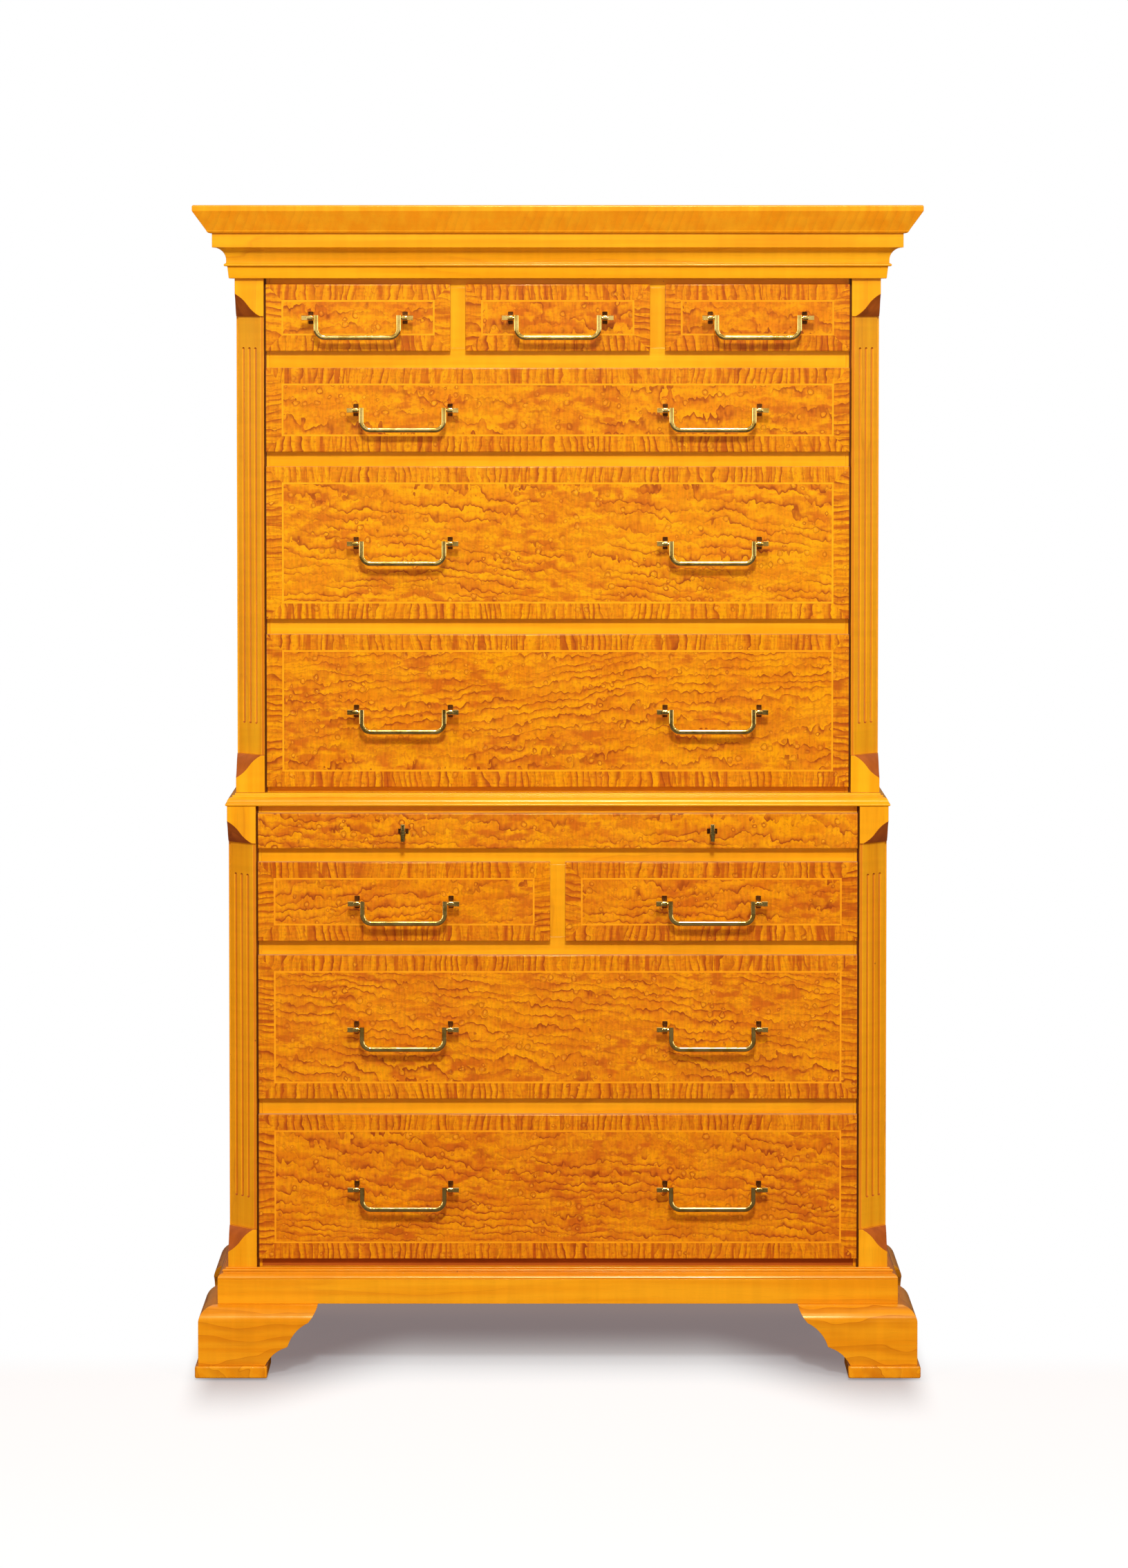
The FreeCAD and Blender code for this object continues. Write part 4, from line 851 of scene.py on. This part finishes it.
def makePosts(node):
    source = solidsOf(node)
    work = bmesh.new()
    for island in islandsOf(source):
        low, high = boxOf(island)
        if isPlate(low, high):
            facet = postLook["plateFacet"]
            outline = [(low.y, low.z + facet), (low.y + facet, low.z), (high.y, low.z),
                       (high.y, high.z), (low.y + facet, high.z), (low.y, high.z - facet)]
            addBlock(work, outline, low.x, high.x, facet, 1)
            continue
        radius, steps = postLook["noseRadius"], postLook["noseSteps"]
        turns = [math.pi / 2 * i / steps for i in range(steps + 1)]
        top = [(low.y + radius * (1 - math.sin(a)), high.z - radius * (1 - math.cos(a)))
               for a in turns]
        bottom = [(y, high.z + low.z - z) for y, z in reversed(top)]
        outline = top + bottom + [(high.y, low.z), (high.y, high.z)]
        addBlock(work, outline, low.x, high.x, postLook["facet"], 0)
    source.free()
    bmesh.ops.recalc_face_normals(work, faces=work.faces)
    body = frame["nodes"][node]["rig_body"]
    return finishPiece(work, node + "_brass", [brass, darkBrass], body, slots[node], node)


for drawer in drawers:
    makePosts(drawer + "_posts")


metalEdges = {"sharp": math.radians(60), "shortestFacets": 3}


def dressMetal(node, materials, facet, slot):
    work = solidsOf(node)
    edges = sharpEdges(work, metalEdges["sharp"], facet * metalEdges["shortestFacets"])
    for island in islandsOf(work):
        plate = isPlate(*boxOf(island))
        for face in {face for vert in island for face in vert.link_faces}:
            face.material_index = 1 if plate else 0
    chamfer(work, edges, facet, material=-1)
    body = frame["nodes"][node]["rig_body"]
    return finishPiece(work, node + "_metal", materials, body, slot, node)


dressMetal("brushing_slide_knobs", [brass, darkBrass], postLook["knobFacet"], "brass")
dressMetal("foot_glides", [steel], postLook["facet"], "glide_metal")
print("posts, knobs and glides made")


# half-blind dovetails that join the drawer sides to their fronts
tailLook = {"Depth": 8 * mm, "Thickness": 12 * mm, "Pitch": 32 * mm, "Slope": 0.14,
            "Width": 19 * mm, "Finish": boxTimber}


def makeTailTree():
    sizes = dict.fromkeys(["Span", "Height", "Depth", "Thickness", "Width", "Slope"], "Float")
    tree, given = openTree("drawer_dovetails", dict(sizes, Count="Int", Centre="Vector",
                                                    Finish="Material"))
    tail = addNode(tree, "GeometryNodeMeshCube", {
        "Size": vectorOf(tree, given["Thickness"], given["Depth"], given["Width"])})
    place = addNode(tree, "GeometryNodeInputPosition").outputs[0]
    parts = addNode(tree, "ShaderNodeSeparateXYZ", {0: place}).outputs
    lean = times(tree, parts[1], given["Slope"])
    lean = times(tree, lean, calc(tree, "SIGN", parts[2]))
    flared = addNode(tree, "GeometryNodeSetPosition", {
        "Geometry": tail.outputs["Mesh"],
        "Offset": vectorOf(tree, 0.0, 0.0, times(tree, lean, -1.0))})
    grid = addNode(tree, "GeometryNodeMeshGrid", {"Size X": given["Span"], "Size Y": given["Height"],
                                                  "Vertices X": 2, "Vertices Y": given["Count"]})
    upright = addNode(tree, "GeometryNodeTransform", {
        "Geometry": grid.outputs["Mesh"], "Translation": given["Centre"],
        "Rotation": (math.pi / 2, 0.0, 0.0)})
    tails = addNode(tree, "GeometryNodeInstanceOnPoints", {"Points": upright.outputs[0],
                                                           "Instance": flared.outputs[0]})
    closeTree(tree, tails.outputs[0], given["Finish"])
    return tree


tailTree = makeTailTree()
for drawer in drawers:
    low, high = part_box(drawer + "_box")
    count = max(2, int((high.z - low.z) / tailLook["Pitch"]))
    pitch = (high.z - low.z) / count
    sizes = dict(tailLook, Count=count, Height=pitch * (count - 1),
                 Span=high.x - low.x - tailLook["Thickness"],
                 Centre=((low.x + high.x) / 2, low.y - tailLook["Depth"] / 2, (low.z + high.z) / 2))
    growPiece(drawer + "_dovetails", tailTree, sizes, drawer, "drawer_wood", seed=drawer)
print("drawers joined")


# slotted screws that hold the back panels
screwLook = {"Head": 4 * mm, "Head Sides": 20, "Slot": 1 * mm, "Rise": 0.8 * mm,
             "Spacing": 150 * mm, "Edge": 14 * mm, "Metal": darkBrass}


def makeScrewTree():
    sizes = dict.fromkeys(["Wide", "High", "Edge", "Spacing", "Head", "Slot", "Rise"], "Float")
    sizes.update({"Head Sides": "Int", "Centre": "Vector", "Metal": "Material"})
    tree, given = openTree("back_screws", sizes)
    head = addNode(tree, "GeometryNodeMeshCylinder", {
        "Vertices": given["Head Sides"], "Radius": given["Head"], "Depth": given["Rise"]})
    cutter = addNode(tree, "GeometryNodeMeshCube", {
        "Size": vectorOf(tree, times(tree, given["Head"], 3.0), given["Slot"], given["Rise"])})
    raised = addNode(tree, "GeometryNodeTransform", {
        "Geometry": cutter.outputs["Mesh"],
        "Translation": vectorOf(tree, 0.0, 0.0, times(tree, given["Rise"], 0.5))})
    slotted = addNode(tree, "GeometryNodeMeshBoolean", {"Mesh 1": head.outputs["Mesh"],
                                                        "Mesh 2": raised.outputs[0]},
                      operation="DIFFERENCE")
    inset = times(tree, given["Edge"], -2.0)
    border = addNode(tree, "GeometryNodeCurvePrimitiveQuadrilateral", {
        "Width": calc(tree, "ADD", given["Wide"], inset),
        "Height": calc(tree, "ADD", given["High"], inset)})
    places = addNode(tree, "GeometryNodeResampleCurve", {"Curve": border.outputs[0],
                                                         "Length": given["Spacing"]}, mode="LENGTH")
    turn = addNode(tree, "FunctionNodeRandomValue", {2: 0.0, 3: math.pi, "Seed": 4},
                   data_type="FLOAT")
    screws = addNode(tree, "GeometryNodeInstanceOnPoints", {
        "Points": places.outputs[0], "Instance": slotted.outputs["Mesh"],
        "Rotation": vectorOf(tree, 0.0, 0.0, turn.outputs[1])})
    upright = addNode(tree, "GeometryNodeTransform", {
        "Geometry": screws.outputs[0], "Translation": given["Centre"],
        "Rotation": (-math.pi / 2, 0.0, 0.0)})
    closeTree(tree, upright.outputs[0], given["Metal"])
    return tree


screwTree = makeScrewTree()
backs = solidsOf("back_panels")
for number, island in enumerate(islandsOf(backs)):
    low, high = boxOf(island)
    centre = (low + high) / 2
    centre.y = high.y - screwLook["Rise"] / 2
    sizes = dict(screwLook, Wide=high.x - low.x, High=high.z - low.z, Centre=centre)
    growPiece(f"back_screws_{number + 1}", screwTree, sizes, "case", "glide_metal")
backs.free()
print("backs screwed on")


# floor, light and camera: places are in metres, and a direction's parts run from -1 to 1, with y
# at -1 in front of the chest and at 1 behind it, and z at 1 overhead
studio = {
    "floorSize": 14.0, "floorColour": 0.45, "floorSeen": 1.15, "floorMirrored": 0.33,
    # the shadow keys draw the painted shadow on the floor: its grey, start, depth, arch, sides and
    # ends
    "floorLit": 0.22, "shadow": "#8C8284", "shadowFrom": -0.33, "shadowDepth": 0.48,
    "shadowArch": (0.22, 0.50, 0.0, 0.27), "shadowSide": (0.53, 0.59, 1.0, 0.0),
    "shadowEnds": (0.40, 1.0, 1.0, 0.0), "clearBehind": (-0.28, -0.05),
    "clearBeside": (0.54, 0.60), "clearFar": (1.1, 2.0),
    "fillFront": (-1.0, -0.3, 0.52, 0.0), "fillAbove": (0.3, 0.9, 0.20, 0.38),
    "fillColour": (1.0, 0.55, 0.30, 1.0), "paperFrom": (0.0, 0.4, 0.05, 1.0),
    "paperTo": (0.80, 0.93, 1.0, 0.10), "ceiling": (0.35, 0.65, 0.0, 0.95),
    "bandFrom": (-0.055, -0.025), "bandTo": (0.05, 0.14, 0.95, 0.0),
    "bandAhead": (-0.1, 0.3, 1.0, 0.0),
    "sideBox": 3.5, "sideBoxAlong": (-0.42, 0.20), "sideBoxUp": (0.12, 0.30),
    "keyColour": (0.97, 1.07, 1.14), "keyDistance": 9.0, "keySize": 0.8,
    # each lamp: its angle to the right, its height angle, and the level it lights a front to
    "lamps": {"main_light": (1.2, 31, 0.53), "left_light": (-40, 27, 0.06),
              "right_light": (40, 27, 0.06), "top_light": (2, 50, 0.08)},
    "camera": (0.0, -8.28, 1.698), "tilt": 2.6, "lens": 118.85, "sensor": 36.0, "shiftX": 0.004,
    # picture rows: all of them, those from the middle up to eye level, and the view's own drop
    "rows": 2268, "eyeLevel": 714, "drop": 0.5}


def seenBy(tree):
    path = addNode(tree, "ShaderNodeLightPath").outputs
    mirrored = calc(tree, "MAXIMUM", path["Is Glossy Ray"], path["Is Transmission Ray"])
    return path["Is Camera Ray"], mirrored


def makeFloor():
    # white paper with a painted soft shadow under the chest, a grey glow that the camera sees over a
    # little of the lamp-lit paper, and plain white further off
    half = studio["floorSize"] / 2
    mesh = bpy.data.meshes.new("floor")
    mesh.from_pydata([(-half, -half, 0), (half, -half, 0), (half, half, 0), (-half, half, 0)],
                     [], [(0, 1, 2, 3)])
    material, tree = newMaterial("floor_paper")
    camera, mirrored = seenBy(tree)
    place = addNode(tree, "ShaderNodeTexCoord").outputs["Object"]
    distance = addNode(tree, "ShaderNodeVectorMath", {0: place}, operation="LENGTH").outputs["Value"]
    parts = addNode(tree, "ShaderNodeSeparateXYZ", {0: place}).outputs
    # the painted shadow: how far each point lies under the chest, with an arch, soft sides and soft
    # ends
    width = calc(tree, "ABSOLUTE", parts[0])
    depth = calc(tree, "ADD", parts[1], softStep(tree, width, *studio["shadowArch"]))
    under = softStep(tree, depth, studio["shadowFrom"], studio["shadowFrom"] + studio["shadowDepth"])
    under = times(tree, under, softStep(tree, width, *studio["shadowSide"]))
    under = times(tree, under, softStep(tree, parts[1], *studio["shadowEnds"]))
    soft = mixColour(tree, under, (1, 1, 1, 1), shade(studio["shadow"]))
    paintedShadowGlow = addNode(tree, "ShaderNodeEmission", {"Color": soft, "Strength": 1.0})
    level = calc(tree, "MULTIPLY_ADD", camera, studio["floorSeen"] - studio["floorColour"],
                 studio["floorColour"])
    level = calc(tree, "MULTIPLY_ADD", mirrored, -studio["floorMirrored"], level)
    paper = addNode(tree, "ShaderNodeBsdfDiffuse", {"Color": greyOf(tree, level)})
    beside = times(tree, softStep(tree, parts[1], *studio["clearBehind"]),
                   softStep(tree, width, *studio["clearBeside"]))
    clear = calc(tree, "MAXIMUM", beside, softStep(tree, distance, *studio["clearFar"]))
    drawn = calc(tree, "MULTIPLY_ADD", clear, studio["floorLit"], 1.0 - studio["floorLit"])
    mix = addNode(tree, "ShaderNodeMixShader", {0: times(tree, camera, drawn),
                                                1: paper.outputs[0], 2: paintedShadowGlow.outputs[0]})
    addNode(tree, "ShaderNodeOutputMaterial", {0: mix.outputs[0]})
    mesh.materials.append(material)
    link("floor", mesh)


def makeWorld():
    # soft fill from all round, more from the front and from above; what is mirrored is white
    # paper behind, a bright ceiling, and a dark room in front with a bright band at eye level
    world = bpy.data.worlds.new("studio")
    world.use_nodes = True
    tree = world.node_tree
    tree.nodes.clear()
    camera, mirrored = seenBy(tree)
    toward = addNode(tree, "ShaderNodeTexCoord").outputs["Generated"]
    parts = addNode(tree, "ShaderNodeSeparateXYZ", {0: toward}).outputs

    def along(axis, name):
        return softStep(tree, parts[axis], *studio[name])

    fill = calc(tree, "ADD", along(1, "fillFront"), along(2, "fillAbove"))
    behind = times(tree, along(1, "paperFrom"), along(1, "paperTo"))
    band = times(tree, times(tree, along(2, "bandFrom"), along(2, "bandTo")), along(1, "bandAhead"))
    room = calc(tree, "MAXIMUM", calc(tree, "MAXIMUM", behind, along(2, "ceiling")), band)
    boxes = times(tree, calc(tree, "COMPARE", parts[1], *studio["sideBoxAlong"]),
                  calc(tree, "COMPARE", parts[2], *studio["sideBoxUp"]))
    room = calc(tree, "MAXIMUM", room, times(tree, boxes, studio["sideBox"]))
    level = calc(tree, "MULTIPLY_ADD", mirrored, calc(tree, "SUBTRACT", room, fill), fill)
    level = calc(tree, "MAXIMUM", level, camera)
    plain = calc(tree, "MAXIMUM", camera, mirrored)
    colour = mixColour(tree, plain, studio["fillColour"], (1, 1, 1, 1))
    light = addNode(tree, "ShaderNodeBackground", {"Color": colour, "Strength": level})
    addNode(tree, "ShaderNodeOutputWorld", {0: light.outputs[0]})
    scene.world = world


def addLamp(name, side, up, level):
    turn, up = math.radians(side), math.radians(up)
    aim = Vector((0, cadBox[0].y, cadBox[1].z / 2))
    away = Vector((math.sin(turn) * math.cos(up), -math.cos(turn) * math.cos(up), math.sin(up)))
    lamp = bpy.data.lights.new(name, "AREA")
    lamp.shape, lamp.size, lamp.color = "SQUARE", studio["keySize"], studio["keyColour"]
    # a white front would be lit to this level by this lamp alone
    lamp.energy = level * math.pi ** 2 * studio["keyDistance"] ** 2 / -away.y
    piece = bpy.data.objects.new(name, lamp)
    scene.collection.objects.link(piece)
    piece.location = aim + away * studio["keyDistance"]
    piece.rotation_mode = "QUATERNION"
    piece.rotation_quaternion = away.to_track_quat("Z", "Y")


def addCamera():
    data = bpy.data.cameras.new("camera")
    data.lens, data.sensor_width, data.sensor_fit = studio["lens"], studio["sensor"], "AUTO"
    focal = studio["lens"] / data.sensor_width           # in picture heights
    data.shift_x = studio["shiftX"]
    data.shift_y = (focal * math.tan(math.radians(studio["tilt"]))
                    - studio["eyeLevel"] / studio["rows"] + studio["drop"] / studio["rows"])
    camera = bpy.data.objects.new("camera", data)
    scene.collection.objects.link(camera)
    camera.location = studio["camera"]
    camera.rotation_euler = (math.radians(90 - studio["tilt"]), 0, 0)
    scene.camera = camera


makeFloor()
makeWorld()
for lampName, (side, up, level) in studio["lamps"].items():
    addLamp(lampName, side, up, level)
addCamera()
print("studio lit")
